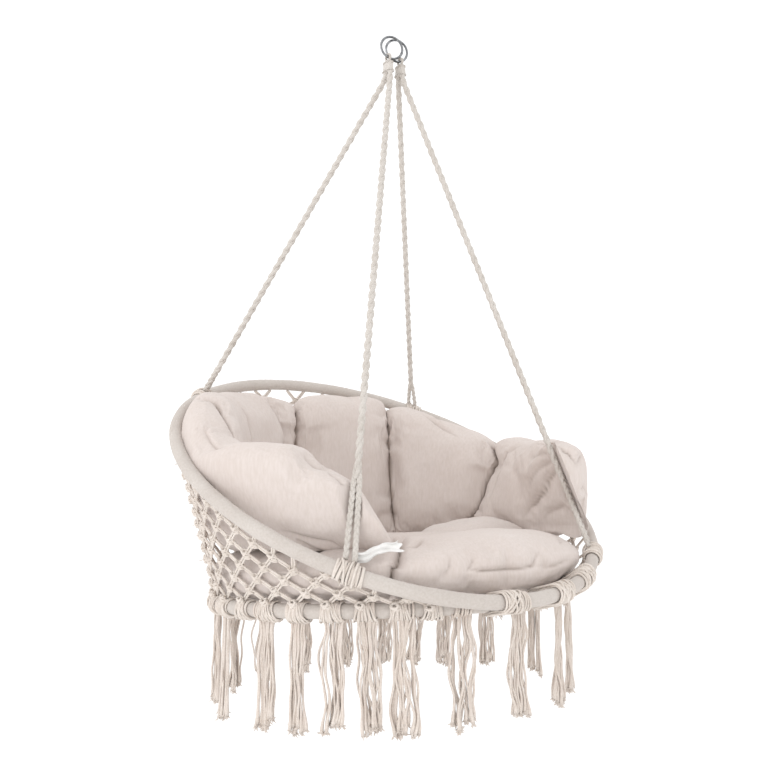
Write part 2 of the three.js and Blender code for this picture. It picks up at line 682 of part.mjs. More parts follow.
// Square net across the lower hoop, under the seat pad.
function seatNet() {
  const inner = LOWER_RADIUS * Math.cos(Math.PI / HOOP_FACETS) - seatNetEnd;
  const reach = Math.ceil(inner / SEAT_NET_PITCH);
  const knots = [];
  const cords = [];
  const byName = new Map();
  const addKnot = (x, y) => {
    const place = lowerHoop.radial(0).multiplyScalar(y).add(vec(x, lowerCentreY, lowerCentreZ));
    knots.push({ place, normal: lowerHoop.planeNormal });
    return knots.length - 1;
  };
  const isKnot = (i, j) => Math.hypot(i, j) * SEAT_NET_PITCH < inner - SEAT_NET_EDGE;
  for (let i = 0.5 - reach; i < reach; i++) {
    for (let j = 0.5 - reach; j < reach; j++) {
      if (isKnot(i, j)) {
        byName.set(i + ":" + j, addKnot(i * SEAT_NET_PITCH, j * SEAT_NET_PITCH));
      }
    }
  }
  for (const [name, knot] of byName) {
    const [i, j] = name.split(":").map(Number);
    for (const [di, dj] of [[1, 0], [0, 1], [-1, 0], [0, -1]]) {
      if (isKnot(i + di, j + dj)) {
        if (di + dj > 0) {
          cords.push([knot, byName.get(i + di + ":" + (j + dj))]);
        }
        continue;
      }
      const edgeX = di * Math.sqrt(inner ** 2 - (j * SEAT_NET_PITCH) ** 2);
      const edgeY = dj * Math.sqrt(inner ** 2 - (i * SEAT_NET_PITCH) ** 2);
      cords.push([knot, addKnot(di ? edgeX : i * SEAT_NET_PITCH, dj ? edgeY : j * SEAT_NET_PITCH)]);
    }
  }
  return netGeometry(knots, cords);
}

// Tassel: a bound head over a skirt of cords drawn as flutes that flare towards the cut ends.
function tasselGeometry(twist) {
  const levels = [
    { drop: 0, radius: TASSEL_WAIST_RADIUS, groove: 1 },
    { drop: TASSEL_HEAD_LENGTH / 4, radius: TASSEL_HEAD_RADIUS, groove: 1 },
    { drop: TASSEL_HEAD_LENGTH, radius: TASSEL_HEAD_RADIUS, groove: 1 },
    { drop: TASSEL_HEAD_LENGTH + TASSEL_HEAD_LENGTH / 4, radius: TASSEL_WAIST_RADIUS, groove: 1 },
    { drop: TASSEL_LENGTH / 2, radius: TASSEL_SKIRT_RADIUS, groove: TASSEL_GROOVE_SHARE },
    { drop: TASSEL_LENGTH, radius: TASSEL_FLARE_RADIUS, groove: TASSEL_GROOVE_SHARE },
  ];
  const rings = levels.reverse().map(({ drop, radius, groove }) =>
    Array.from({ length: 2 * TASSEL_STRANDS }, (_, k) => {
      const turn = twist + (Math.PI * k) / TASSEL_STRANDS;
      const reach = radius * (k % 2 ? groove : 1);
      return vec(reach * Math.cos(turn), reach * Math.sin(turn), -drop);
    }),
  );
  return skin(rings, false);
}

function addTassel(number, angleDeg) {
  const front = Math.abs(angleDeg) > TASSEL_FRONT_FROM_DEG;
  const place = lowerHoop.place(rad(angleDeg), front ? TASSEL_FRONT_SHIFT : 0, 0);
  const label = "tassel_" + String(number).padStart(2, "0");
  const tassel = addMesh(label, tasselGeometry(number), materials.rope);
  tassel.position.copy(place).add(vec(0, 0, -SLEEVE_RADIUS - TASSEL_TOP_GAP));
}

// Seat pad: a full round pad on the seat net, wider above the lower hoop, with a crown and a sewn channel
// behind its front roll. Built in the lower hoop's plane.
const padBase = NET_CORD_THICKNESS / 2 + TOUCH_GAP;
const padHalfWidth = LOWER_RADIUS + PAD_SIDE_OVERHANG;
const padHalfDepth = LOWER_RADIUS - PAD_FRONT_INSET;
const padLevelShares = [
  { out: 0.45, rise: 0 },
  { out: 0.84, rise: 0 },
  { out: 0.95, rise: 0.18 },
  { out: 1, rise: 0.55 },
  { out: 0.975, rise: 0.82 },
  { out: 0.9, rise: 1 },
  { out: 0.72, rise: 1 },
  { out: 0.5, rise: 1 },
  { out: 0.25, rise: 1 },
];

// Height of the pad's top over its flat rim: the crown, the front roll, the channel behind it and the
// hump of loose filling behind that.
function padSwell(x, y, out) {
  const crown = PAD_CROWN * (1 - out ** 2);
  const along = Math.max(1 - ((x - PAD_ROLL_X) / PAD_ROLL_HALF_LENGTH) ** 2, 0);
  const roll = PAD_ROLL_HEIGHT * along * Math.exp(-(((y + PAD_ROLL_Y) / PAD_ROLL_WIDTH) ** 2));
  const channel = PAD_CHANNEL_DEPTH * Math.exp(-(((y + PAD_CHANNEL_Y) / PAD_CHANNEL_WIDTH) ** 2));
  const offCentre = ((x - PAD_HUMP_X) / PAD_HUMP_HALF_WIDTH) ** 2 + ((y - PAD_HUMP_Y) / PAD_HUMP_HALF_DEPTH) ** 2;
  return crown + roll - channel + PAD_HUMP_HEIGHT * Math.max(1 - offCentre, 0);
}

function seatPad() {
  const base = padHalfDepth - PAD_BASE_INSET;
  const rings = padLevelShares.map(({ out, rise }) =>
    Array.from({ length: PAD_STEPS }, (_, k) => {
      const turn = (2 * Math.PI * k) / PAD_STEPS;
      const inset = rise === 0 ? Math.min(base, out * padHalfDepth) / padHalfDepth : out;
      const diagonal = Math.max(-Math.sin(2 * turn) * Math.sign(Math.cos(turn)), 0);
      const shoulder = 1 + PAD_SHOULDER_SHARE * rise * diagonal * inset;
      let x = inset * shoulder * padHalfWidth * Math.cos(turn);
      let y = inset * shoulder * padHalfDepth * Math.sin(turn) + PAD_CENTRE_SHIFT_Y;
      const swell = rise === 1 ? padSwell(x, y, out) : 0;
      const lift = padBase + rise * PAD_RIM_HEIGHT + swell;
      const height = lowerCentreZ + y * Math.sin(lowerTilt) + lift * Math.cos(lowerTilt);
      const most = netReach(Math.atan2(x, y), height) - PAD_NET_CLEARANCE;
      const share = rise === 0 ? 1 : Math.min(most / Math.hypot(x, y), 1);
      x *= share;
      y *= share;
      return vec(x, y, lift);
    }),
  );
  return skin(rings, false);
}

function addSeatPad() {
  const pad = addMesh("seat_pad", seatPad(), materials.cushion);
  pad.rotation.x = lowerTilt;
  pad.position.set(0, lowerCentreY, lowerCentreZ);
}

// Back cushion: a horseshoe of sewn panels that stands on the rim of the pad and leans on the net and
// the upper hoop. Its left arm passes inside the front rope and its right arm outside it.
const smooth = THREE.MathUtils.smoothstep;

// How far out of the lower hoop's centre the net stands, at a bearing and a height.
function netReach(bearing, height) {
  let angle = bearing;
  let place = vec(0, 0, 0);
  for (let i = 0; i < FACING_STEPS; i++) {
    const low = lowerHoop.place(angle, 0, 0);
    const high = upperHoop.place(angle, 0, 0);
    const share = Math.min((height - low.z) / (high.z - low.z), 1);
    place = low.lerp(high, share).sub(vec(0, lowerCentreY, 0));
    angle += bearing - Math.atan2(place.x, place.y);
  }
  return Math.hypot(place.x, place.y);
}

// The value of a table of [key, value] pairs between its rows.
function tableValue(table, at) {
  let row = 1;
  while (row < table.length - 1 && at > table[row][0]) {
    row++;
  }
  const [fromAt, from] = table[row - 1];
  const [toAt, to] = table[row];
  return from + ((to - from) * (at - fromAt)) / (toAt - fromAt);
}

function backStation(angle) {
  const turn = Math.abs(angle);
  const side = Math.sign(angle);
  const sideShare = smooth(turn, 0, Math.PI / 2);
  const armShift = side * ARM_SHIFT * smooth(turn, rad(ARM_SHIFT_FROM_DEG), rad(ROPE_ANGLE_FRONT_DEG));
  const overhang = sideShare * (BACK_BASE_INSET + ARM_BASE_OVERHANG) - BACK_BASE_INSET;
  const baseOut = LOWER_RADIUS + overhang + armShift;
  const lean = rad(BACK_LEAN_DEG + sideShare * (ARM_LEAN_DEG - BACK_LEAN_DEG));
  const middle = baseOut - BACK_THICKNESS / 2 - LOWER_RADIUS;
  const rise = smooth(angle, rad(RIGHT_END_RISE_FROM_DEG), rad(ROPE_ANGLE_FRONT_DEG)) * RIGHT_END_RISE;
  const rim = padBase + PAD_RIM_HEIGHT + PAD_RISE_UNDER_BACK + TOUCH_GAP;
  const floor = lowerHoop.place(angle, middle, rim).z + rise;
  const top = upperHoop.place(0, 0, 0).z - tableValue(BACK_TOP_DROPS, THREE.MathUtils.radToDeg(angle));
  const end = rad(side < 0 ? LEFT_END_ANGLE_DEG : RIGHT_END_ANGLE_DEG);
  const endShare = smooth(turn, end - rad(END_TAPER_DEG), end);
  let pinch = 0;
  for (const seam of BACK_SEAM_ANGLES_DEG) {
    pinch = Math.max(pinch, Math.exp(-(((angle - rad(seam)) / rad(BACK_SEAM_WIDTH_DEG)) ** 2)));
  }
  const thickness = BACK_THICKNESS * (1 - endShare * (1 - END_THICKNESS_SHARE));
  return { baseOut, lean, floor, height: top - floor, thickness, puff: 1 - pinch * BACK_SEAM_DEPTH_SHARE };
}

function backCushion() {
  const start = -rad(LEFT_END_ANGLE_DEG);
  const span = rad(LEFT_END_ANGLE_DEG + RIGHT_END_ANGLE_DEG);
  const rings = [];
  for (let i = 0; i <= BACK_STEPS; i++) {
    const angle = start + (span * i) / BACK_STEPS;
    const { baseOut, lean, floor, height, thickness, puff } = backStation(angle);
    const ring = [];
    for (let k = 0; k < BACK_SECTION_POINTS; k++) {
      const turn = (2 * Math.PI * k) / BACK_SECTION_POINTS;
      const up = (height / 2) * (1 - rounded(Math.cos(turn)));
      const deep = (thickness / 2) * (1 - puff * rounded(Math.sin(turn)));
      const face = Math.min(baseOut + up * Math.tan(lean), netReach(angle, floor + up) - BACK_NET_CLEARANCE);
      const out = face - deep;
      ring.push(vec(out * Math.sin(angle), lowerCentreY + out * Math.cos(angle), floor + up));
    }
    rings.push(ring);
  }
  return skin(rings, false);
}

// A sine or cosine pushed outwards, so that a section is a soft rectangle and not an ellipse.
function rounded(value) {
  return Math.sign(value) * Math.abs(value) ** BACK_SECTION_POWER;
}

// The wedge that a front rope presses into an arm of the back cushion, from one face to past the rope. It
// widens downwards with the tails. On the right it goes on to the end of the arm, which stays outside.
function ropeWedge(side) {
  const { bend, foot } = ropeRun(side, true);
  const reach = ROPE_RADIUS + 2 * ROPE_GROOVE_CLEARANCE;
  const splitShare = 1 - ROPE_SPLIT_HEIGHT_FRONT / foot.distanceTo(bend);
  const levels = [
    [ROPE_WEDGE_FROM_SHARE, ROPE_RADIUS],
    [splitShare, 2 * ROPE_TAIL_RADIUS],
    [1, ROPE_TAIL_SPREAD_FRONT / 2 + ROPE_TAIL_RADIUS],
  ];
  const rings = levels.map(([share, halfWidth]) => {
    const at = bend.clone().lerp(foot, share);
    const out = vec(at.x, at.y - lowerCentreY, 0).normalize().multiplyScalar(side);
    const along = UP.clone().cross(out);
    const apex = at.clone().addScaledVector(out, reach);
    const mouth = at.clone().addScaledVector(out, -ROPE_WEDGE_DEPTH);
    const narrow = halfWidth + ROPE_GROOVE_CLEARANCE;
    const wide = narrow + ROPE_WEDGE_FLARE;
    const toEnd = side > 0 ? ROPE_WEDGE_END_REACH : 0;
    return [
      mouth.clone().addScaledVector(along, wide),
      mouth.clone().addScaledVector(along, -wide - toEnd),
      apex.clone().addScaledVector(along, -narrow - toEnd),
      apex.clone().addScaledVector(along, narrow),
    ];
  });
  return skin(rings.reverse(), false);
}

function addBackCushion() {
  let cushion = toSolid(backCushion());
  for (const [, side] of SIDES) {
    cushion = cushion.subtract(toSolid(ropeWedge(side)));
  }
  addMesh("back_cushion", toGeometry(cushion), materials.cushion);
}

// Cotton tape that holds the left arm of the back cushion to a tail of the front rope.
function addCushionTie() {
  const { angle, bend, foot } = ropeRun(-1, true);
  const tail = foot.clone().lerp(bend, TIE_UP_THE_ROPE_SHARE);
  tail.addScaledVector(upperHoop.tangent(angle), -ROPE_TAIL_SPREAD_FRONT / 2);
  const away = vec(tail.x, tail.y - lowerCentreY, 0).normalize();
  const knot = tail.clone().addScaledVector(away, -ROPE_TAIL_RADIUS - TIE_THICKNESS / 2 - TIE_ROPE_GAP);
  const forward = away.clone().cross(UP).negate();
  const start = knot.clone().addScaledVector(forward, -ROPE_TAIL_RADIUS);
  const end = knot.clone().addScaledVector(forward, TIE_LENGTH);
  end.addScaledVector(away, -TIE_INWARDS).addScaledVector(UP, TIE_RISE);
  const rings = [start, knot, end].map((point) =>
    [[-1, -1], [1, -1], [1, 1], [-1, 1]].map(([up, deep]) => {
      const corner = point.clone().addScaledVector(UP, (up * TIE_WIDTH) / 2);
      return corner.addScaledVector(away, (deep * TIE_THICKNESS) / 2);
    }),
  );
  addMesh("cushion_tie", skin(rings, false), materials.tape);
}

addRings();
addHoop("upper", upperHoop);
addHoop("lower", lowerHoop);
for (const [label, side] of SIDES) {
  addBight(label, side);
  addNeck(label, side);
  for (const end of ["front", "back"]) {
    addRope(label, side, end);
    addRopeLashing(label, side, end);
  }
}
FRONT_BINDING_ANGLES_DEG.forEach((angle, i) => addFrontBinding(i + 1, angle));
addMesh("side_net", sideNet(), materials.rope);
addMesh("seat_net", seatNet(), materials.rope);
TASSEL_ANGLES_DEG.forEach((angle, i) => addTassel(i + 1, angle));
addSeatPad();
addBackCushion();
addCushionTie();

export default chair;
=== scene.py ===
"""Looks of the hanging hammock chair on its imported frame: plaited ropes, a knotted net, a fringe of
cotton cords, cloth-wrapped hoops and simulated cushions. Metres, +Z up, -Y towards the open front."""

import random
from math import cos, hypot, pi, radians, sin, sqrt, tau

import bmesh
import bpy
import mathutils.noise
import numpy as np
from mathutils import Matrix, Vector
from numpy.linalg import norm


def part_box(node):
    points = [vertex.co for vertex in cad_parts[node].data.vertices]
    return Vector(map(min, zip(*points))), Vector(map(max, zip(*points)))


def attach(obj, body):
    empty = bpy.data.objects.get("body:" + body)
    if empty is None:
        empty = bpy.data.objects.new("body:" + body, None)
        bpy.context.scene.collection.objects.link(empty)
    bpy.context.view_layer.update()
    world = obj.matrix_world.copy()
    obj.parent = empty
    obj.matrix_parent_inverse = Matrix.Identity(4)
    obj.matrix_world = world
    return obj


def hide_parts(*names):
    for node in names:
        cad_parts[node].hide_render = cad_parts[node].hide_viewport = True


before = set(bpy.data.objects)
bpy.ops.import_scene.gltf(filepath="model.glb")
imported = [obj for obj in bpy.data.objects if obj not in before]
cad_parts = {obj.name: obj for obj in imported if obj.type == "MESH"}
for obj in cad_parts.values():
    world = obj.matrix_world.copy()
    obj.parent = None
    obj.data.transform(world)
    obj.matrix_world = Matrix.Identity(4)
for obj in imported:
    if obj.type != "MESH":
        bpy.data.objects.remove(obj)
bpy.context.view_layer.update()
scene = bpy.context.scene
CHAIR = "hanging_chair"
rng = np.random.default_rng(7)

# Camera, as fitted to the hoops' outlines
CAMERA_AZIMUTH_DEG = -37.5
CAMERA_DISTANCE = 1.6
CAMERA_HEIGHT = -0.869
CAMERA_YAW_DEG = 0.725
CAMERA_PITCH_DEG = 6.52
CAMERA_LENS_MM = 39.88

# Hoops, with the part's own sizes
UPPER_RADIUS = 0.4
UPPER_TILT = radians(29.6)
UPPER_CENTRE = np.array([0.0, 0.0183, -0.8541])
LOWER_RADIUS = 0.315
LOWER_TILT = radians(-3.2)
HOOP_FRONT_SPACING = 0.03
HOOP_FRONT_DROP = 0.005
SLEEVE_RADIUS = 0.0119
RIGHT_FRONT = radians(138)
RIGHT_BACK = radians(41.5)
FRONT_SPLIT = 0.15
BACK_SPLIT = 0.06
FRONT_SPREAD = 0.007
BACK_SPREAD = 0.008


def vec(*values):
    return np.array(values, float)


class Hoop:
    """A circle tilted about X. Angles run from the back, +Y, towards the right, +X."""

    def __init__(self, radius, tilt, centre):
        self.radius = radius
        self.tilt = tilt
        self.centre = centre
        self.normal = vec(0, -sin(tilt), cos(tilt))

    def radial(self, angle):
        across, ahead = np.sin(angle), np.cos(angle)
        return np.stack([across, ahead * cos(self.tilt), ahead * sin(self.tilt)], -1)

    def tangent(self, angle):
        return self.radial(angle + pi / 2)

    def place(self, angle):
        return self.centre + self.radius * self.radial(angle)


upper = Hoop(UPPER_RADIUS, UPPER_TILT, UPPER_CENTRE)
front = upper.place(pi)
lower_front = vec(0, front[1] + HOOP_FRONT_SPACING, front[2] - HOOP_FRONT_DROP)
lower_axis = vec(0, cos(LOWER_TILT), sin(LOWER_TILT))
lower = Hoop(LOWER_RADIUS, LOWER_TILT, lower_front + LOWER_RADIUS * lower_axis)


# Node materials

def feed(tree, socket, value):
    """Links an output to a socket, or sets the socket's own value."""
    if hasattr(value, "is_output"):
        tree.links.new(value, socket)
    else:
        socket.default_value = value


def add_node(tree, kind, **values):
    node = tree.nodes.new(kind)
    for key, value in values.items():
        if key in node.inputs:
            feed(tree, node.inputs[key], value)
        else:
            setattr(node, key, value)
    return node


def noise(tree, scale, detail, roughness=0.6, stretch=(1, 1, 1)):
    """A noise texture in object space, drawn out along the axes by stretch."""
    place = add_node(tree, "ShaderNodeTexCoord").outputs["Object"]
    place = add_node(tree, "ShaderNodeMapping", Vector=place, Scale=stretch).outputs["Vector"]
    values = {"Vector": place, "Scale": scale, "Detail": detail, "Roughness": roughness}
    return add_node(tree, "ShaderNodeTexNoise", **values).outputs["Fac"]


def threads(tree, scale, direction, distortion=0.6):
    """Parallel threads in object space."""
    node = add_node(
        tree, "ShaderNodeTexWave", Vector=add_node(tree, "ShaderNodeTexCoord").outputs["Object"],
        Scale=scale, Distortion=distortion, Detail=2.0, wave_type="BANDS", bands_direction=direction,
    )
    return node.outputs["Fac"]


def ramp(tree, source, low, dark, high, light):
    """A colour that goes from dark to light while the source goes from low to high."""
    node = add_node(tree, "ShaderNodeValToRGB", Fac=source)
    for element, position, colour in zip(node.color_ramp.elements, (low, high), (dark, light)):
        element.position = position
        element.color = (*colour, 1)
    return node.outputs["Color"]


def mix_colour(tree, share, first, second, blend="MIX"):
    node = add_node(tree, "ShaderNodeMix", data_type="RGBA", blend_type=blend)
    for index, value in ((0, share), (6, first), (7, second)):
        feed(tree, node.inputs[index], value)
    return node.outputs[2]


def bump(tree, shader, layers):
    """Stacks bump layers of (texture, its values, strength, distance)."""
    below = {}
    for texture, values, strength, distance in layers:
        below.update(Strength=strength, Distance=distance, Height=texture(tree, *values))
        below["Normal"] = add_node(tree, "ShaderNodeBump", **below).outputs["Normal"]
        feed(tree, shader.inputs["Normal"], below["Normal"])


def make_material(name, tone, colours, inputs, layers=(), fibre=None, crease_shade=None, wear=None):
    """Two colours over a slow noise and bump layers; fibres, painted shade along the creases and uneven
    wear where given.
    """
    material = bpy.data.materials.new(name)
    material.use_nodes = True
    tree = material.node_tree
    shader = tree.nodes["Principled BSDF"]
    colour = ramp(tree, noise(tree, *tone), 0.3, colours[0], 0.7, colours[1])
    if fibre:
        values, low, shade, high = fibre
        yarn = ramp(tree, noise(tree, *values), low, shade, high, (1, 1, 1))
        colour = mix_colour(tree, 1.0, colour, yarn, "MULTIPLY")
    # Painted shade: a dark brown mixed in by the crease mark, where seams and folds would fall into shade
    if crease_shade:
        marks = add_node(tree, "ShaderNodeAttribute", attribute_name="crease_shade")
        colour = mix_colour(tree, marks.outputs["Fac"], colour, (*crease_shade, 1))
    if wear:
        values, least, most = wear
        spread = {"Value": noise(tree, *values), "To Min": least, "To Max": most}
        inputs["Roughness"] = add_node(tree, "ShaderNodeMapRange", **spread).outputs["Result"]
    for key, value in {"Base Color": colour, **inputs}.items():
        feed(tree, shader.inputs[key], value)
    bump(tree, shader, layers)
    return material


def cord_material(name, colours, fibre_scale):
    return make_material(
        name, (24.0, 4.0), colours,
        {"Roughness": 0.95, "Sheen Weight": 0.2, "Specular IOR Level": 0.1},
        layers=(
            (noise, (fibre_scale, 3.0), 0.4, 0.0006),
            (threads, (520.0, "DIAGONAL", 2.0), 0.35, 0.0005),
        ),
        fibre=((fibre_scale, 3.0), 0.25, (0.86, 0.84, 0.81), 0.65),
    )


# Colours, the darker first
CANVAS = ((0.62, 0.545, 0.51), (0.655, 0.59, 0.56))
# Painted shade laid along the cushions' seams and folds
CANVAS_CREASE_SHADE = (0.25, 0.19, 0.15)
SLEEVE = ((0.545, 0.495, 0.46), (0.6, 0.555, 0.52))
ROPE = ((0.58, 0.54, 0.5), (0.66, 0.625, 0.59))
NET = ((0.69, 0.62, 0.565), (0.78, 0.72, 0.67))
FRINGE = ((0.67, 0.59, 0.53), (0.76, 0.695, 0.645))
CHROME = ((0.16, 0.165, 0.175), (0.34, 0.35, 0.36))
STEEL = ((0.35, 0.35, 0.36), (0.5, 0.5, 0.51))
TAPE = ((0.73, 0.72, 0.7), (0.83, 0.82, 0.81))
FLOOR = ((0.975, 0.975, 0.975), (0.985, 0.985, 0.985))

canvas = make_material(
    "cushion canvas", (5.0, 3.0), CANVAS,
    {"Roughness": 0.92, "Sheen Weight": 0.15, "Sheen Roughness": 0.6, "Specular IOR Level": 0.15},
    layers=(
        (threads, (380.0, "Z"), 0.12, 0.0004),
        (threads, (380.0, "DIAGONAL"), 0.12, 0.0004),
        (noise, (30.0, 4.0), 0.25, 0.004),
        (noise, (9.0, 3.0, 0.5, (1, 1, 0.4)), 0.3, 0.012),
    ),
    fibre=((260.0, 2.0, 0.5, (1, 1, 0.25)), 0.3, (0.93, 0.92, 0.9), 0.7),
    crease_shade=CANVAS_CREASE_SHADE,
)
sleeve_cloth = make_material(
    "hoop sleeve", (12.0, 3.0), SLEEVE,
    {"Roughness": 0.93, "Sheen Weight": 0.15, "Specular IOR Level": 0.12},
    layers=((threads, (420.0, "DIAGONAL", 1.0), 0.3, 0.0005), (noise, (60.0, 4.0), 0.35, 0.0015)),
    fibre=((300.0, 2.0), 0.3, (0.9, 0.89, 0.87), 0.7),
)
rope_cotton = cord_material("plaited rope", ROPE, 420.0)
net_cotton = cord_material("net cord", NET, 420.0)
fringe_cotton = cord_material("fringe cord", FRINGE, 380.0)
chrome = make_material(
    "ring chrome", (90.0, 2.0), CHROME, {"Metallic": 1.0},
    layers=((noise, (500.0, 3.0), 0.05, 0.0002),),
    wear=((160.0, 4.0), 0.08, 0.25),
)
steel = make_material(
    "hoop tube steel", (40.0, 3.0), STEEL, {"Roughness": 0.45, "Metallic": 0.9},
    layers=((noise, (300.0, 3.0), 0.1, 0.0003),),
)
tape = make_material(
    "white tape", (60.0, 3.0), TAPE, {"Roughness": 0.85, "Sheen Weight": 0.2},
    layers=((threads, (700.0, "Z"), 0.3, 0.0003), (noise, (70.0, 3.0), 0.3, 0.002)),
)


# Mesh building

def unit(v):
    return v / max(norm(v), 1e-12)


def units(vectors):
    """Many vectors, along the last axis, each made one long."""
    return vectors / np.maximum(norm(vectors, axis=-1, keepdims=True), 1e-12)


def turns(count):
    """Angles at even steps of a full turn."""
    return tau * np.arange(count) / count


def travelled(path):
    """How far along a polyline each of its points lies."""
    return np.concatenate([[0], np.cumsum(norm(np.diff(path, axis=0), axis=1))])


def soft_power(value, power):
    return np.sign(value) * np.abs(value) ** power


def smooth_step(value, low, high):
    t = np.clip((value - low) / (high - low), 0, 1)
    return t * t * (3 - 2 * t)


def add_object(name, data):
    item = bpy.data.objects.new(name, data)
    scene.collection.objects.link(item)
    return item


def build_mesh(name, points, faces):
    mesh = bpy.data.meshes.new(name)
    mesh.from_pydata(np.asarray(points).tolist(), [], faces)
    mesh.update()
    return mesh


def grid_faces(rows, columns, ends="capped"):
    """Faces of a grid that closes along its second axis, its ends capped or joined, or of a flat one."""
    faces = []
    for i in range(rows if ends == "joined" else rows - 1):
        near = i * columns
        far = (i + 1) % rows * columns
        for k in range(columns - 1 if ends == "flat" else columns):
            m = (k + 1) % columns
            faces.append((near + k, near + m, far + m, far + k))
    if ends == "capped":
        faces.append(tuple(reversed(range(columns))))
        faces.append(tuple(range((rows - 1) * columns, rows * columns)))
    return faces


def check_outward(piece):
    """Turns a closed mesh's faces outwards if they point in."""
    form = bmesh.new()
    form.from_mesh(piece.data)
    if form.calc_volume(signed=True) < 0:
        bmesh.ops.reverse_faces(form, faces=form.faces)
    form.to_mesh(piece.data)
    form.free()


class Shape:
    """Gathers grids of points for one smooth mesh."""

    def __init__(self):
        self.points = []
        self.faces = []
        self.count = 0

    def add(self, grid, ends="capped"):
        for face in grid_faces(*grid.shape[:2], ends):
            self.faces.append(tuple(i + self.count for i in face))
        self.points.append(grid.reshape(-1, 3))
        self.count += len(self.points[-1])

    def make(self, name, material, node, body=CHAIR):
        """Makes the mesh, which moves with a body and stands in for a node of the frame."""
        mesh = build_mesh(name, np.concatenate(self.points), self.faces)
        mesh.polygons.foreach_set("use_smooth", [True] * len(mesh.polygons))
        mesh.materials.append(material)
        piece = add_object(name, mesh)
        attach(piece, body)
        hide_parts(node)
        return piece


def frames(path, closed=False):
    """Two normals at each point of a path, with no sudden turn."""
    steps = np.roll(path, -1, 0) - np.roll(path, 1, 0) if closed else np.gradient(path, axis=0)
    tangents = units(steps)
    side = vec(0.31, 0.2, 0.93)
    sides = np.empty_like(path)
    for i, tangent in enumerate(tangents):
        side = unit(side - tangent * side.dot(tangent))
        sides[i] = side
    return sides, np.cross(tangents, sides)


def tube(shape, path, radius, sides=6, closed=False, ends=1.0):
    """Sweeps a round section along a path. radius may be one per point; ends narrows the tips."""
    path = np.asarray(path, float)
    radii = np.full(len(path), radius, float)
    radii[[0, -1]] *= ends
    across, over = frames(path, closed)
    turn = turns(sides)[None, :, None]
    ring = np.cos(turn) * across[:, None] + np.sin(turn) * over[:, None]
    shape.add(path[:, None] + radii[:, None, None] * ring, "joined" if closed else "capped")


def resample(path, step):
    """Points at an even spacing along a polyline."""
    path = np.asarray(path, float)
    lengths = travelled(path)
    count = max(int(lengths[-1] / step), 2)
    at = np.linspace(0, lengths[-1], count + 1)
    return np.stack([np.interp(at, lengths, path[:, k]) for k in range(3)], 1)


def rounded_path(corners, step, passes=12):
    """A polyline with its corners softened."""
    path = resample(corners, step)
    for _ in range(passes):
        path[1:-1] = 0.5 * path[1:-1] + 0.25 * (path[:-2] + path[2:])
    return path


def plait(shape, path, radius, period, phase):
    """A plait of three strands, each crossing over and under the others."""
    path = resample(path, period / 24)
    passed = travelled(path)
    across, over = frames(path)
    strand = radius * 0.57
    for i in range(3):
        turn = tau * (passed / period + i / 3) + phase
        line = path + across * (np.sin(turn) * (radius - strand))[:, None]
        line = line + over * (np.sin(2 * turn) * strand * 0.55)[:, None]
        tube(shape, line, strand, 7, ends=0.6)


def soft_tube(shape, corners, radius, step=0.003, passes=2, **options):
    """A tube along a polyline with softened corners."""
    tube(shape, rounded_path(corners, step, passes), radius, **options)


def hoop_point(hoop, angle, turn, proud):
    """Points on a hoop's wrap: turn 0 faces out, 90 degrees up, and proud is the height over the cloth."""
    turn = np.asarray(turn)[..., None]
    reach = SLEEVE_RADIUS + np.asarray(proud)[..., None]
    return hoop.place(angle) + reach * (np.cos(turn) * hoop.radial(angle) + np.sin(turn) * hoop.normal)


def hoop_wraps(shape, hoop, angle, width, count, cord, local, slant=0.0025, proud=0.0):
    """Turns of cord laid round a hoop side by side, none quite straight."""
    turn = turns(18)
    for i in range(count):
        at = ((i + 0.5) / count - 0.5) * width + local.uniform(-1, 1) * width / count * 0.25
        lean = local.uniform(-slant, slant)
        slide = at + lean * np.cos(turn + local.uniform(0, tau))
        lift = proud + cord * local.uniform(0.85, 1.35)
        path = hoop_point(hoop, angle + slide / hoop.radius, turn, lift)
        tube(shape, path, cord * local.uniform(0.85, 1.12), closed=True)


def wisps(shape, start, way, count, length, local, thick=0.0007):
    """Loose fibres that stand off a cord."""
    for _ in range(count):
        stray = vec(*(local.uniform(-1, 1) for _ in range(3)))
        tip = start + (way + 0.6 * stray) * length * local.uniform(0.6, 1.2)
        middle = (start + tip) / 2 + 0.2 * length * stray[::-1]
        soft_tube(shape, [start, middle, tip], thick, sides=4, ends=0.4)


# Ropes

RING_REACH = 0.0425
EYE_BEARING = radians(20)
BIGHT_X = hypot(RING_REACH * sin(EYE_BEARING), 0.004)
BIGHT_Z = -RING_REACH * cos(EYE_BEARING) - 0.0003
BIGHT_REACH = 0.0069
NECK_TOP = BIGHT_Z - 0.006
NECK_BOTTOM = NECK_TOP - 0.026
NECK_ROWS = 16
NECK_SIDES = 24
ROPE_RADIUS = 0.0066
ROPE_PERIOD = 0.058
TAIL_RADIUS = 0.0048
TAIL_PERIOD = 0.036
LASHING_CORD = 0.0019


def rope_run(side, fore):
    """A rope's angle on the upper hoop, its top, the bend under its neck, its foot and the way there."""
    angle = side * (RIGHT_FRONT if fore else RIGHT_BACK)
    top = vec(side * BIGHT_X, -0.0065 if fore else 0.0065, NECK_BOTTOM + 0.006)
    bend = top - vec(0, 0, 0.014)
    foot = upper.place(angle)
    return angle, top, bend, foot, unit(foot - bend)


def rope_name(kind, label, fore):
    return f"{kind}_{'front' if fore else 'back'}_{label}"


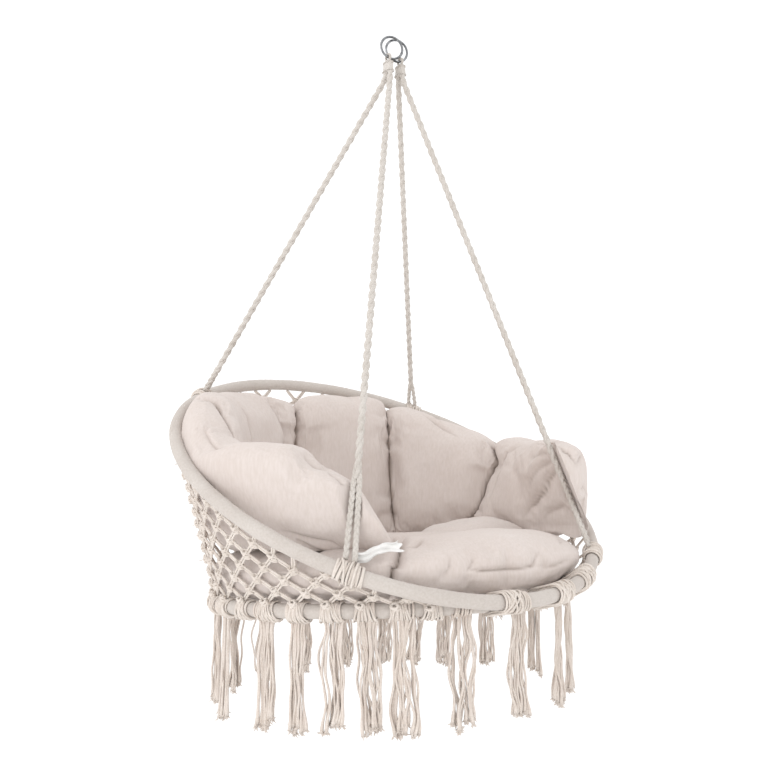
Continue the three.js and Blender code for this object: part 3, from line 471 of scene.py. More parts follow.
def make_rope(label, side, fore):
    """A plaited rope that parts into two thinner tails above the hoop."""
    angle, top, bend, foot, way = rope_run(side, fore)
    split = foot - way * (FRONT_SPLIT if fore else BACK_SPLIT)
    spread = FRONT_SPREAD if fore else BACK_SPREAD
    along = upper.tangent(angle)
    shape = Shape()
    plait(shape, rounded_path([top, bend, split + way * 0.006], 0.004), ROPE_RADIUS, ROPE_PERIOD, side)
    for hand in (-1, 1):
        root = split - way * 0.01 + along * hand * 0.002
        shoulder = split + along * hand * 0.0042
        hem = foot - way * (SLEEVE_RADIUS + 0.0065) + along * hand * spread
        plait(shape, rounded_path([root, shoulder, hem], 0.003), TAIL_RADIUS, TAIL_PERIOD, hand)
    name = rope_name("rope", label, fore)
    shape.make(f"plaited_{name}", rope_cotton, name)


def make_lashing(label, side, fore):
    """Cord wound round the hoop over the rope's tails, with a few turns that cross the others."""
    angle = rope_run(side, fore)[0]
    local = random.Random(f"{label}{fore}")
    shape = Shape()
    width = 0.044 if fore else 0.034
    hoop_wraps(shape, upper, angle, width, 13 if fore else 10, LASHING_CORD, local)
    hoop_wraps(shape, upper, angle, width * 0.7, 3, LASHING_CORD, local, 0.009, LASHING_CORD * 1.5)
    for hand in (-1, -1, -1, 1, 1, 1):
        at = angle + hand * local.uniform(0.01, 0.05)
        start = hoop_point(upper, at, local.uniform(-2.2, -0.6), LASHING_CORD)
        wisps(shape, start, vec(0, 0, -1), 2, 0.009, local, 0.0009)
    name = rope_name("rope_lashing", label, fore)
    shape.make(f"wound_{name}", net_cotton, name)


def neck_points(side, turn, level, half_x, half_y, power):
    """Points round a neck, on ovals whose sides power flattens. level runs from 0 at the top to 1."""
    x = side * BIGHT_X + half_x * soft_power(np.cos(turn), power)
    z = NECK_TOP - 0.001 - level * 0.0248 + 0 * turn
    return np.stack([x, half_y * soft_power(np.sin(turn), power), z], -1)


def make_neck(label, side):
    """The gathered rope under an eye, held in a close cover that widens downwards."""
    level = np.linspace(0, 1, NECK_ROWS)[:, None]
    turn = turns(NECK_SIDES)[::-1]
    round_off = np.sqrt(np.maximum(1 - np.maximum((np.abs(2 * level - 1) - 0.75) / 0.25, 0) ** 2, 0.2))
    pleat = 1 + 0.035 * np.sin(6 * turn + 2.0 * level)
    half_x = (0.0064 + 0.0006 * level) * round_off * pleat
    half_y = (0.0106 + 0.002 * level) * round_off * pleat
    shape = Shape()
    shape.add(neck_points(side, turn, level, half_x, half_y, 0.7))
    for level, grow in ((0.16, 0.0004), (0.24, 0.0004), (0.9, 0.0016)):
        ring = neck_points(side, turns(32), level, 0.0068 + grow, 0.011 + 1.5 * grow, 0.75)
        tube(shape, ring, 0.0009, closed=True)
    shape.make(f"covered_neck_{label}", rope_cotton, f"rope_neck_{label}")


def make_bight(label, side):
    """The eye of rope round a ring's wire: a plait closed on itself."""
    shape = Shape()
    turn = turns(90)
    for i in range(3):
        weave = 5 * turn + tau * i / 3
        reach = BIGHT_REACH + 0.0006 * np.sin(2 * weave)
        line = np.stack([0.0017 * np.sin(weave), reach * np.cos(turn), reach * np.sin(turn)], 1)
        tube(shape, vec(side * BIGHT_X, 0, BIGHT_Z) + line, 0.0012, closed=True)
    shape.make(f"rope_eye_{label}", rope_cotton, f"rope_bight_{label}", "rope_bights")


# Hoops

LAP_WIDTH = 0.016
SLEEVE_STEPS = 720
SLEEVE_SIDES = 28
BINDING_TURNS = 14
BINDING_WIDTH = 0.05


def make_sleeve(label, hoop):
    """Cloth strip wound round the tube: each lap stands a little proud of the next."""
    laps = round(tau * hoop.radius / LAP_WIDTH)
    wobble = rng.normal(0, 1, 40)
    angle = turns(SLEEVE_STEPS)[:, None]
    turn = turns(SLEEVE_SIDES)[None]
    slow = sum(wobble[n] * np.sin((n + 2) * 3 * angle + n) for n in range(8)) * 0.00012
    saw = (laps * angle / tau + turn / tau) % 1.0
    step = 0.00035 * (1 - saw) - 0.0003 * np.exp(-((saw - 0.98) / 0.03) ** 2)
    shape = Shape()
    shape.add(hoop_point(hoop, angle, turn, step + slow - 0.0006), "joined")
    piece = shape.make(f"{label}_hoop_wrap", sleeve_cloth, f"{label}_hoop_sleeve")
    check_outward(piece)


def make_binding(number, angle_deg):
    """Cord wound unevenly round both hoops where they meet at the front, with turns that cross."""
    angle = radians(angle_deg)
    facing = angle
    for _ in range(20):
        way = unit(upper.tangent(angle) + lower.tangent(facing))
        facing += (upper.place(angle) - lower.place(facing)).dot(way) / LOWER_RADIUS
    local = random.Random(number)
    pick = local.uniform
    shape = Shape()
    turn = turns(34)
    outward = np.cos(turn)[:, None]
    slide = np.clip(3 * outward, -1, 1)

    def wind(at, lean, start, proud, pinch, cord):
        """One turn at a place along the hoops. pinch draws it in between them."""
        along = at + lean * np.cos(turn + start)
        high = upper.place(angle + along / UPPER_RADIUS)
        low = lower.place(facing + along / LOWER_RADIUS)
        across = units(high - low)
        waist = (1 - pinch * (1 - np.abs(slide))) * np.sin(turn)[:, None]
        swing = (SLEEVE_RADIUS + proud) / 0.965 * (outward * across + waist * units(np.cross(way, across)))
        tube(shape, low + (high - low) * (1 + slide) / 2 + swing, cord, closed=True)

    for i in range(BINDING_TURNS):
        at = ((i + 0.5) / BINDING_TURNS - 0.5) * BINDING_WIDTH + pick(-0.0012, 0.0012)
        lean = pick(-0.004, 0.004)
        start = pick(0, 6.28)
        wind(at, lean, start, pick(0.0018, 0.0034), 0.25, 0.0019 * pick(0.85, 1.1))
    for hand in (-1, 1, -1, 1, -1):
        at = pick(-0.012, 0.012)
        wind(at, hand * pick(0.006, 0.015), pick(0.8, 2.3), 0.005, 0.1, 0.0018)
    for _ in range(14):
        along = pick(-0.5, 0.5) * BINDING_WIDTH
        start = hoop_point(lower, facing + along / LOWER_RADIUS, pick(-2.4, 0.3), 0.004)
        wisps(shape, start, vec(0, -0.3, -0.8), 2, 0.008, local, 0.0008)
    shape.make(f"wound_binding_{number}", net_cotton, f"front_binding_{number}")


# Net

NET_COLUMNS = 34
NET_ROW = 0.0215
NET_DENSITY = 0.2
NET_CORD = 0.0019
NET_FOOT = SLEEVE_RADIUS + 0.003
NET_LEAST = 0.009
KNOT_SIZE = 1.15
SEAT_PITCH = 0.052


def column_angle(turn):
    """Columns stand closer together at the front than at the back."""
    even = tau * turn / NET_COLUMNS
    return even + NET_DENSITY * sin(even)


def net_span(turn):
    """The angle of a column, its ends on the two hoops and its length."""
    angle = column_angle(turn)
    low = lower.place(angle)
    high = upper.place(angle)
    return angle, low, high, norm(high - low)


def net_point(turn, up):
    """A point of the net, its outward normal and the way up along its column."""
    angle, low, high, height = net_span(turn)
    normal = unit(np.cross(lower.tangent(angle), high - low))
    if normal.dot(lower.radial(angle)) < 0:
        normal = -normal
    return low + (high - low) * up / height, normal, unit(high - low)


def cord_pair(shape, a, b, normal, gap=0.0021):
    """Two cords side by side from one knot to the next."""
    side = np.cross(normal, unit(b - a))
    for hand in (-1, 1):
        middle = (a + b) / 2 + side * hand * (gap + 0.0003)
        path = [a + side * hand * gap * 0.6, middle, b + side * hand * gap * 0.6]
        soft_tube(shape, path, NET_CORD, 0.005, 3)


def square_knot(shape, centre, normal, up, size, wraps, local=None):
    """A flat knot: working cords wrapped round a pair of core cords, with a loop at each side."""
    side = np.cross(up, normal)
    pitch = 0.0036 * size
    half = up * wraps * pitch / 2
    tilt = local.uniform(-0.35, 0.35) if local else 0.0
    t = np.arange(wraps * 10 + 1)[:, None] / 10
    across = 0.0052 * size * np.cos(tau * t)
    rise = (t - wraps / 2) * pitch + across * tilt
    path = centre + up * rise + side * across + normal * 0.0032 * size * np.sin(tau * t)
    tube(shape, path, 0.0017 * size, ends=0.6)
    for way in (-side, side):
        edge = centre + way * 0.003 * size
        middle = centre + way * 0.0064 * size + normal * 0.0008
        soft_tube(shape, [edge - half * 1.1, middle, edge + half * 1.1], 0.0016 * size)
    if not local:
        return
    start = centre + normal * 0.001
    for way in (-side, side):
        corner = way * 0.006 * size + half
        top = centre + normal * 0.005 * size + up * local.uniform(-0.001, 0.001)
        soft_tube(shape, [start - corner, top, start + corner], 0.0015 * size)


def foot_cluster(shape, angle, local):
    """Where net cords meet the lower hoop: turns round it, and cords that fan out down its face."""
    hoop_wraps(shape, lower, angle, 0.03, 8, 0.0017, local, 0.003)
    k = np.arange(12)
    turn = np.radians(70 - 235 * k / 11)
    share = 0.25 + 0.75 * np.minimum(1, k / 6)
    for reach in (-0.016, -0.012, -0.008, -0.004, 0, 0.004, 0.008, 0.012, 0.016):
        end = reach + local.uniform(-0.0015, 0.0015)
        proud = 0.0042 + 0.0012 * np.sin(k + end * 900)
        path = hoop_point(lower, angle + end * share / LOWER_RADIUS, turn, proud)
        tube(shape, path, 0.0016 * local.uniform(0.9, 1.1), ends=0.6)


def make_side_net():
    """Rows of knots between the hoops, each joined to the two above it or to the upper hoop."""
    shape = Shape()
    local = random.Random(11)

    def exists(row, turn):
        return NET_FOOT + row * NET_ROW <= net_span(turn)[3] - SLEEVE_RADIUS - NET_LEAST

    for row in range(int(net_span(0)[3] / NET_ROW) + 1):
        for column in range(NET_COLUMNS):
            turn = column + (row % 2) / 2
            if row > 0 and not exists(row, turn):
                continue
            here, normal, way = net_point(turn, NET_FOOT + row * NET_ROW)
            above = []
            for hand in (-0.5, 0.5):
                if exists(row + 1, turn + hand):
                    above.append(net_point(turn + hand, NET_FOOT + (row + 1) * NET_ROW)[0])
                elif row > 0:
                    hung = turn + hand / 2
                    above.append(net_point(hung, net_span(hung)[3] - SLEEVE_RADIUS)[0])
            for there in above:
                cord_pair(shape, here, there, normal)
            if row > 0:
                square_knot(shape, here + normal * 0.001, normal, way, KNOT_SIZE, 3, local)
                if local.random() < 0.5:
                    wisps(shape, here + normal * 0.006, normal, 1, 0.006, local)
            elif above:
                foot_cluster(shape, column_angle(turn), local)
                square_knot(shape, here + normal * 0.006 + way * 0.002, normal, way, KNOT_SIZE, 3, local)
    shape.make("knotted_side_net", net_cotton, "side_net")


def make_seat_net():
    """A square net of cord pairs under the pad, knotted where they cross."""
    shape = Shape()
    inner = LOWER_RADIUS - SLEEVE_RADIUS
    count = int(inner / SEAT_PITCH)
    ahead = lower.radial(0)
    across = vec(1, 0, 0)
    for i in range(-count, count + 1):
        reach = sqrt(inner ** 2 - (i * SEAT_PITCH) ** 2)
        for shift, way in ((ahead, across), (across, ahead)):
            middle = lower.centre + shift * i * SEAT_PITCH
            cord_pair(shape, middle - way * reach, middle + way * reach, lower.normal, 0.0014)
        for j in range(-count, count + 1):
            if hypot(i, j) * SEAT_PITCH < inner - 0.01:
                centre = lower.centre + (across * i + ahead * j) * SEAT_PITCH - lower.normal * 0.001
                square_knot(shape, centre, -lower.normal, ahead, 0.8, 2)
    shape.make("knotted_seat_net", net_cotton, "seat_net")


# Fringe

TASSEL_LENGTH = 0.172
TASSEL_GROUPS = 4
TASSEL_ANGLES_DEG = (
    -82, -105, -116, -127.5, -136.5, -146.5, -162.5, 179, 155.5, 138,
    104, 77, 59, 48, 35, 19, 1, -17, -37, -60,
)
TASSEL_RADII = [0.0019] * 20 + [0.0021, 0.0025, 0.003, 0.0032]


def make_tassel(number, angle_deg):
    """Cords folded over the lower hoop in a few turns, gathered under it and hanging to frayed ends."""
    node = f"tassel_{number:02d}"
    low, high = (np.array(corner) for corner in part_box(node))
    local = random.Random(number)
    pick = local.uniform
    shape = Shape()
    head = vec((low[0] + high[0]) / 2, (low[1] + high[1]) / 2, high[2])
    out = unit(vec(head[0], head[1] - lower.centre[1], 0))
    side = vec(-out[1], out[0], 0)
    up = vec(0, 0, 1)
    hoop_wraps(shape, lower, radians(angle_deg), 0.03, 6, 0.0021, local, 0.0022, 0.0004)
    lean = side * pick(-0.006, 0.006)
    t = np.linspace(0, 1, len(TASSEL_RADII))[:, None]
    loose = np.minimum(1, 4 * t)
    tips = []
    for group in range(TASSEL_GROUPS):
        anchor = (group - (TASSEL_GROUPS - 1) / 2) * 0.0088 + pick(-0.001, 0.001)
        settle = anchor * pick(0.55, 1.05) + pick(-0.003, 0.003)
        deep = pick(-0.004, 0.004)
        phase = pick(0, 6.28)
        swing = pick(0.0018, 0.0042)
        waves = pick(5.5, 9.5)
        length = TASSEL_LENGTH * pick(0.9, 1.0)
        for k in range(4):
            own = (k - 1.5) * 0.0026
            own_deep = deep + pick(-0.0045, 0.0045)
            reach = length * pick(0.955, 1.0)
            wave = pick(0, 6.28)
            fan = pick(0.5, 1.5)
            stray = 0.01 * np.sign(own) if local.random() < 0.06 else 0
            spot = settle + (anchor - settle) * np.exp(-t * 13) + own * (0.55 + 0.55 * t * fan)
            spot -= 0.18 * settle * np.exp(-((t - 0.13) / 0.07) ** 2)
            wander = (swing * np.sin(phase + waves * t) + 0.0016 * np.sin(wave + 16 * t)) * loose
            wander += stray * np.sin(pi * np.minimum(1, 1.2 * t))
            deeper = own_deep * (0.5 + 0.7 * t) + 0.4 * wander
            drop = (reach + 0.002) * t - 0.004
            path = head + lean * t - up * drop + side * (spot + wander) + out * deeper
            tube(shape, path, TASSEL_RADII)
            tips.append(path[-1])
    for tip in tips:
        for _ in range(8):
            fray = tip + vec(pick(-6, 6), pick(-6, 6), pick(-7, 1)) / 1000
            fray[2] = max(fray[2], low[2] - 0.002)
            middle = (tip + fray) / 2 - up * 0.0005
            tube(shape, [tip + up * 0.003, middle, fray], [0.0015, 0.0011, 0.0004], 4)
    shape.make(f"fringe_{node}", fringe_cotton, node)


# Cushions

def net_reach(bearing, height):
    """How far out of the lower hoop's centre the net stands, at bearings and heights."""
    angle = np.array(bearing, float)
    for _ in range(10):
        (low_x, low_y, low_z), (high_x, high_y, high_z) = (
            (
                hoop.radius * np.sin(angle),
                hoop.centre[1] + hoop.radius * np.cos(angle) * cos(hoop.tilt),
                hoop.centre[2] + hoop.radius * np.cos(angle) * sin(hoop.tilt),
            )
            for hoop in (lower, upper)
        )
        share = np.minimum((height - low_z) / (high_z - low_z), 1)
        x = low_x + (high_x - low_x) * share
        y = low_y + (high_y - low_y) * share - lower.centre[1]
        miss = bearing - np.arctan2(x, y)
        angle = angle + np.arctan2(np.sin(miss), np.cos(miss))
    return np.hypot(x, y)


def outward_normals(grid):
    """Normals of a grid of points that closes on itself along its second axis."""
    round_it = np.roll(grid, -1, 1) - np.roll(grid, 1, 1)
    normals = units(np.cross(np.gradient(grid, axis=0), round_it))
    inward = ((grid - grid.mean(1, keepdims=True)) * normals).sum() < 0
    return -normals if inward else normals


def look_up(grid, rows, columns):
    """Values between a grid's points. Its second axis closes on itself."""
    low = np.clip(np.floor(rows).astype(int), 0, len(grid) - 2)
    left = np.floor(columns).astype(int)
    side = (columns - left)[..., None]
    near, far = (
        grid[row, left % grid.shape[1]] * (1 - side) + grid[row, (left + 1) % grid.shape[1]] * side
        for row in (low, low + 1)
    )
    part = (rows - low)[..., None]
    return near * (1 - part) + far * part


def grid_path(grid, corners):
    """A path on a grid's surface through corners, each a row and a share of the way round."""
    last = len(corners) - 1
    at = np.linspace(0, last, 60 * last + 1)
    rows, shares = (np.interp(at, range(last + 1), line) for line in zip(*corners))
    return resample(look_up(grid, rows, shares * grid.shape[1]), 0.003)


def path_gaps(points, path):
    """How far points are from a path, and which of its corners is nearest to each."""
    gaps = norm(points[:, None] - path[None], axis=2)
    best = gaps.argmin(1)
    gap = gaps[np.arange(len(points)), best]
    for step in (-1, 1):
        start = path[best]
        way = path[np.clip(best + step, 0, len(path) - 1)] - start
        share = ((points - start) * way).sum(1) / np.maximum((way ** 2).sum(1), 1e-12)
        foot = start + way * np.clip(share, 0, 1)[:, None]
        gap = np.minimum(gap, norm(points - foot, axis=1))
    return gap, best


def carve(grid, normals, grooves, spot):
    """Presses grooves into a grid: sharp fold lines in wider valleys, and gives a mask along the fold lines
    that pins the cloth and carries painted shade. spot gives a corner's row and share of the way round. A
    groove is a profile, how far its ends fade and its corners; a profile is the depth and the width of the
    fold line, then of the valley."""
    flat = grid.reshape(-1, 3)
    sink = np.zeros(len(flat))
    fold_pins_and_shade = np.zeros(len(flat))
    for (line_depth, line_width, valley_depth, valley_width), fade, corners in grooves:
        path = grid_path(grid, [spot(*corner) for corner in corners])
        reach = max(line_width * 4, valley_width * 2.4)
        near = np.where(((flat > path.min(0) - reach) & (flat < path.max(0) + reach)).all(1))[0]
        gap, best = path_gaps(flat[near], path)
        along = best / (len(path) - 1)
        strength = np.clip(np.minimum(along, 1 - along) / fade, 0, 1)
        valley = valley_depth * np.exp(-((gap / valley_width) ** 2))
        line = line_depth * np.exp(-gap / line_width)
        sink[near] = np.maximum(sink[near], (valley + line) * strength)
        # Painted shade: a darkening mark along each fold line, stronger for deeper lines
        mark = np.exp(-((gap / (0.3 * line_width + 0.001)) ** 2)) * strength * min(1, line_depth / 0.012)
        fold_pins_and_shade[near] = np.maximum(fold_pins_and_shade[near], mark)
    return grid - normals * sink.reshape(grid.shape[:2])[..., None], fold_pins_and_shade.reshape(grid.shape[:2])


def lumps(grid, scale, depth, seed):
    """Soft unevenness of the filling."""
    offset = Vector((seed * 3.1, seed * 1.7, seed * 0.9))
    flat = grid.reshape(-1, 3)
    values = [mathutils.noise.noise(Vector(point) / scale + offset) for point in flat]
    return depth * np.array(values).reshape(grid.shape[:2])[..., None]


COARSE = 3
CLOTH_FRAMES = 20
CLOTH = {
    "quality": 5,
    "mass": 0.25,
    "tension_stiffness": 18,
    "compression_stiffness": 18,
    "shear_stiffness": 6,
    "bending_stiffness": 0.3,
    "air_damping": 2,
    "use_pressure": True,
    "vertex_group_mass": "pins",
}


def blow_up(grid, pins, cap, pressure, grow):
    """Simulates a coarse copy of the grid as cloth under pressure, and gives how far each point moves."""
    coarse = grid[::COARSE, ::COARSE]
    mesh = build_mesh("cloth trial", coarse.reshape(-1, 3), grid_faces(*coarse.shape[:2]))
    trial = add_object("cloth_trial", mesh)
    check_outward(trial)
    group = trial.vertex_groups.new(name="pins")
    for index, weight in enumerate(pins[::COARSE, ::COARSE].reshape(-1)):
        if weight > 0.01:
            group.add([index], float(min(weight, 1)), "REPLACE")
    cloth = trial.modifiers.new("cloth", "CLOTH")
    fitted = {"uniform_pressure_force": pressure, "shrink_min": grow, "shrink_max": grow}
    for key, value in {**CLOTH, **fitted}.items():
        setattr(cloth.settings, key, value)
    cloth.settings.effector_weights.gravity = 0
    cloth.point_cache.frame_start = 1
    cloth.point_cache.frame_end = CLOTH_FRAMES
    for number in range(1, CLOTH_FRAMES + 1):
        scene.frame_set(number)
    shaped = trial.evaluated_get(bpy.context.evaluated_depsgraph_get())
    after = np.empty(len(shaped.data.vertices) * 3)
    shaped.data.vertices.foreach_get("co", after)
    scene.frame_set(1)
    bpy.data.objects.remove(trial)
    move = after.reshape(coarse.shape) - coarse
    far = norm(move, axis=2, keepdims=True)
    move *= cap * np.tanh(far / cap) / np.maximum(far, 1e-9)
    rows, columns = (np.arange(count) / COARSE for count in grid.shape[:2])
    return look_up(move, np.minimum(rows, len(coarse) - 1)[:, None], columns[None])


def place_cushion(name, grid, node, shade_marks):
    shape = Shape()
    shape.add(grid)
    piece = shape.make(name, canvas, node)
    # Painted shade: these marks darken the canvas colour along the seams and folds
    marks = piece.data.attributes.new("crease_shade", "FLOAT", "POINT")
    marks.data.foreach_set("value", (0.8 * shade_marks).reshape(-1).astype(np.float32))
    check_outward(piece)


# Seat pad

PAD_BASE = 0.0026
PAD_RIM = 0.084
PAD_HALF = (0.322, 0.311)
PAD_SHIFT = -0.005
PAD_SHOULDER = 0.12
PAD_ROWS = 181
PAD_COLUMNS = 480
# Shares of the pad's reach and of its height, from the middle of its underside to the middle of its top
PAD_PROFILE = (
    (0.02, 0), (0.25, 0), (0.5, 0), (0.7, 0), (0.8, 0), (0.86, 0.015), (0.905, 0.07), (0.94, 0.16),
    (0.97, 0.28), (0.99, 0.41), (1.0, 0.55), (0.995, 0.67), (0.98, 0.78), (0.955, 0.87), (0.92, 0.935),
    (0.875, 0.98), (0.82, 1), (0.75, 1), (0.6, 1), (0.4, 1), (0.2, 1), (0.02, 1),
)
PAD_SEAM = (0.016, 0.0045, 0.006, 0.012)
PAD_FOLD = (0.007, 0.0035, 0.003, 0.012)
PAD_FAINT = (0.004, 0.003, 0.002, 0.01)
# Corners are a bearing in degrees and a share of the way from the pad's first row to its last
PAD_GROOVES = (
    (PAD_SEAM, 0.1, ((-144, 0.3), (-144, 0.48), (-145, 0.54), (-147, 0.63), (-147, 0.8))),
    (PAD_FOLD, 0.2, (
        (-164, 0.517), (-169, 0.506), (-176, 0.506), (-184, 0.506), (-189, 0.512), (-191, 0.535),
        (-194, 0.55),
    )),
    (PAD_FAINT, 0.3, ((-160, 0.555), (-160, 0.528), (-158, 0.49))),
    (PAD_FAINT, 0.3, ((-168, 0.555), (-167, 0.53), (-164, 0.5))),
    (PAD_FAINT, 0.3, ((-188, 0.512), (-198, 0.505), (-208, 0.52))),
    (PAD_FOLD, 0.3, ((-148, 0.612), (-151, 0.62), (-156, 0.66))),
    (PAD_FAINT, 0.3, ((-222, 0.62), (-214, 0.58), (-205, 0.56))),
)


def pad_point(out, rise, turn):
    """Points of the pad in the lower hoop's plane, from shares of its reach and height."""
    diagonal = np.maximum(-np.sin(2 * turn) * np.sign(np.cos(turn)), 0)
    shoulder = 1 + PAD_SHOULDER * rise * diagonal * out
    x = out * shoulder * PAD_HALF[0] * np.cos(turn)
    y = out * shoulder * PAD_HALF[1] * np.sin(turn) + PAD_SHIFT
    crown = 0.018 * (1 - out ** 2)
    along = np.maximum(1 - ((x - 0.07) / 0.2) ** 2, 0)
    roll = 0.01 * along * np.exp(-(((y + 0.235) / 0.062) ** 2))
    channel = 0.018 * np.exp(-(((y + 0.15) / 0.02) ** 2))
    hump = 0.034 * np.maximum(1 - ((x - 0.162) / 0.112) ** 2 - ((y + 0.064) / 0.094) ** 2, 0) ** 0.85
    lift = PAD_BASE + rise * PAD_RIM + rise ** 6 * (crown + roll - channel + hump)
    height = lower.centre[2] + y * sin(LOWER_TILT) + lift * cos(LOWER_TILT)
    most = net_reach(np.arctan2(x, y), height) - 0.011
    share = np.where(rise > 0.02, np.minimum(most / np.maximum(np.hypot(x, y), 1e-6), 1), 1)
    return x * share, y * share, lift


def make_seat_pad():
    """Round pad: flat where it lies on the net, a full rim, a plump front roll and a hump behind it."""
    profile = np.array(PAD_PROFILE)
    passed = travelled(profile * [0.32, 0.084])
    at = np.linspace(0, passed[-1], PAD_ROWS)
    out = np.interp(at, passed, profile[:, 0])[:, None]
    rise = np.interp(at, passed, profile[:, 1])[:, None]
    turn = turns(PAD_COLUMNS)[None]
    x, y, lift = (share[..., None] for share in pad_point(out, rise + 0 * turn, turn))
    grid = lower.centre + x * vec(1, 0, 0) + y * lower.radial(0) + lift * lower.normal
    normals = outward_normals(grid)

    def spot(bearing, share):
        return share * (PAD_ROWS - 1), (90 - bearing) / 360

    grid, fold_pins_and_shade = carve(grid, normals, PAD_GROOVES, spot)
    grid = grid + normals * lumps(grid, 0.11, 0.0045, 1) + normals * lumps(grid, 0.04, 0.0016, 2)
    flat = np.broadcast_to((rise == 0) * 1.0, fold_pins_and_shade.shape)
    grid = grid + blow_up(grid, np.maximum(fold_pins_and_shade, flat), 0.006, 1.6, -0.04)
    sunk = np.minimum((grid - lower.centre) @ lower.normal - PAD_BASE, 0)
    grid = grid - sunk[..., None] * lower.normal
    place_cushion("quilted_seat_pad", grid, "seat_pad", fold_pins_and_shade)


# Back cushion

BACK_THICKNESS = 0.096
LEFT_END_DEG = -144
RIGHT_END_DEG = 145
BACK_ROWS = 841
BACK_COLUMNS = 177
SEAM_BEARINGS_DEG = (-88, -24, -8, 38, 79, 132)
# Bearing in degrees, and how far the top lies under the back of the upper hoop
BACK_TOP_DROPS = (
    (-150, 0.33), (-144, 0.29), (-132, 0.212), (-126, 0.197), (-122, 0.187), (-116, 0.157), (-93, 0.15),
    (-86, 0.128), (-80, 0.092), (-72, 0.062), (-65, 0.052), (-45, 0.04), (-33, 0.032), (-20, 0.05),
    (-12, 0.042), (5, 0.03), (25, 0.028), (35, 0.034), (45, 0.051), (55, 0.071), (65, 0.093), (75, 0.112),
    (95, 0.124), (115, 0.134), (130, 0.14), (145, 0.158), (150, 0.17),
)
SEAM = (0.02, 0.006, 0.014, 0.026)
FOLD = (0.014, 0.005, 0.008, 0.018)
CREASE = (0.007, 0.004, 0.003, 0.011)
FAINT = (0.004, 0.0035, 0.002, 0.01)
PINCH = (0.008, 0.0085, 0.006, 0.017)
SOFT = (0.004, 0.0075, 0.003, 0.013)
# Corners are a bearing in degrees and a share of the way round a section, from its foot by the inner face
BACK_GROOVES = (
    (SEAM, 0.08, ((38, 0.1), (37, 0.25), (37, 0.5), (38, 0.75), (41, 0.94))),
    (SEAM, 0.08, (
        (80, 0.1), (80, 0.25), (80, 0.5), (82, 0.63), (84, 0.72), (80, 0.79), (72, 0.86), (64, 0.95),
    )),
    (SEAM, 0.08, ((-8, 0.1), (-8, 0.25), (-9, 0.5), (-11, 0.62), (-13, 0.75), (-8, 0.94))),
    (FOLD, 0.1, ((-34, 0.35), (-32, 0.5), (-29, 0.61), (-25, 0.69), (-20, 0.85))),
    (FAINT, 0.4, ((-55, 0.45), (-54, 0.55), (-56, 0.75))),
    (FOLD, 0.15, ((-70, 0.47), (-76, 0.53), (-84, 0.6), (-92, 0.74), (-98, 0.85))),
    (FAINT, 0.3, ((-100, 0.4), (-92, 0.43), (-84, 0.45))),
    (FAINT, 0.2, ((-113, 0.18), (-119, 0.15), (-127, 0.13), (-131, 0.06))),
    (FAINT, 0.2, ((-117, 0.14), (-121, 0.07), (-126, 0.02))),
    (FAINT, 0.2, ((-118, 0.5), (-122, 0.49), (-126, 0.51))),
    (FAINT, 0.2, ((-126, 0.47), (-129, 0.44), (-131, 0.38))),
    (CREASE, 0.4, ((139, 0.55), (142, 0.5), (143, 0.42), (143, 0.3))),
    (FAINT, 0.4, ((137, 0.35), (140, 0.33), (143, 0.31))),
    (FAINT, 0.4, ((134, 0.22), (138, 0.22), (142, 0.2))),
    (FAINT, 0.2, ((128, 0.52), (120, 0.56), (110, 0.58))),
    (FAINT, 0.4, ((100, 0.54), (92, 0.66), (88, 0.8))),
    (FAINT, 0.4, ((50, 0.53), (62, 0.6), (70, 0.63))),
)
# Gathers that run out from where the right rope presses on the cushion
ROPE_GATHERS = (
    (PINCH, 0.25, ((131, 0.69), (127, 0.73), (122, 0.75), (117, 0.765), (112, 0.785), (108, 0.84))),
    (SOFT, 0.25, ((131, 0.67), (124, 0.71), (118, 0.735), (111, 0.755))),
    (PINCH, 0.3, ((131, 0.72), (129, 0.75), (126.5, 0.78))),
    (SOFT, 0.3, ((129, 0.765), (124, 0.79), (119, 0.81), (115, 0.85))),
    (SOFT, 0.3, ((130, 0.64), (122, 0.66), (112, 0.67))),
)


def back_bearings():
    """Bearings of the cushion's sections, closer together at its seams."""
    even = np.linspace(LEFT_END_DEG, RIGHT_END_DEG, 2401)
    density = 1 + sum(2.2 * np.exp(-(((even - at) / 5) ** 2)) for at in SEAM_BEARINGS_DEG)
    passed = np.concatenate([[0], np.cumsum((density[1:] + density[:-1]) / 2)])
    return np.interp(np.linspace(0, passed[-1], BACK_ROWS), passed, even)


def back_top(degrees):
    """How high the cushion's top stands at bearings, with the table's corners rounded."""
    fine = np.linspace(-150, 150, 601)
    drops = np.interp(fine, *np.array(BACK_TOP_DROPS).T)
    kernel = np.exp(-((np.arange(-10, 11) / 4.5) ** 2))
    drops = np.convolve(np.pad(drops, 10, "edge"), kernel / kernel.sum(), "valid")
    return upper.place(0)[2] - np.interp(degrees, fine, drops)


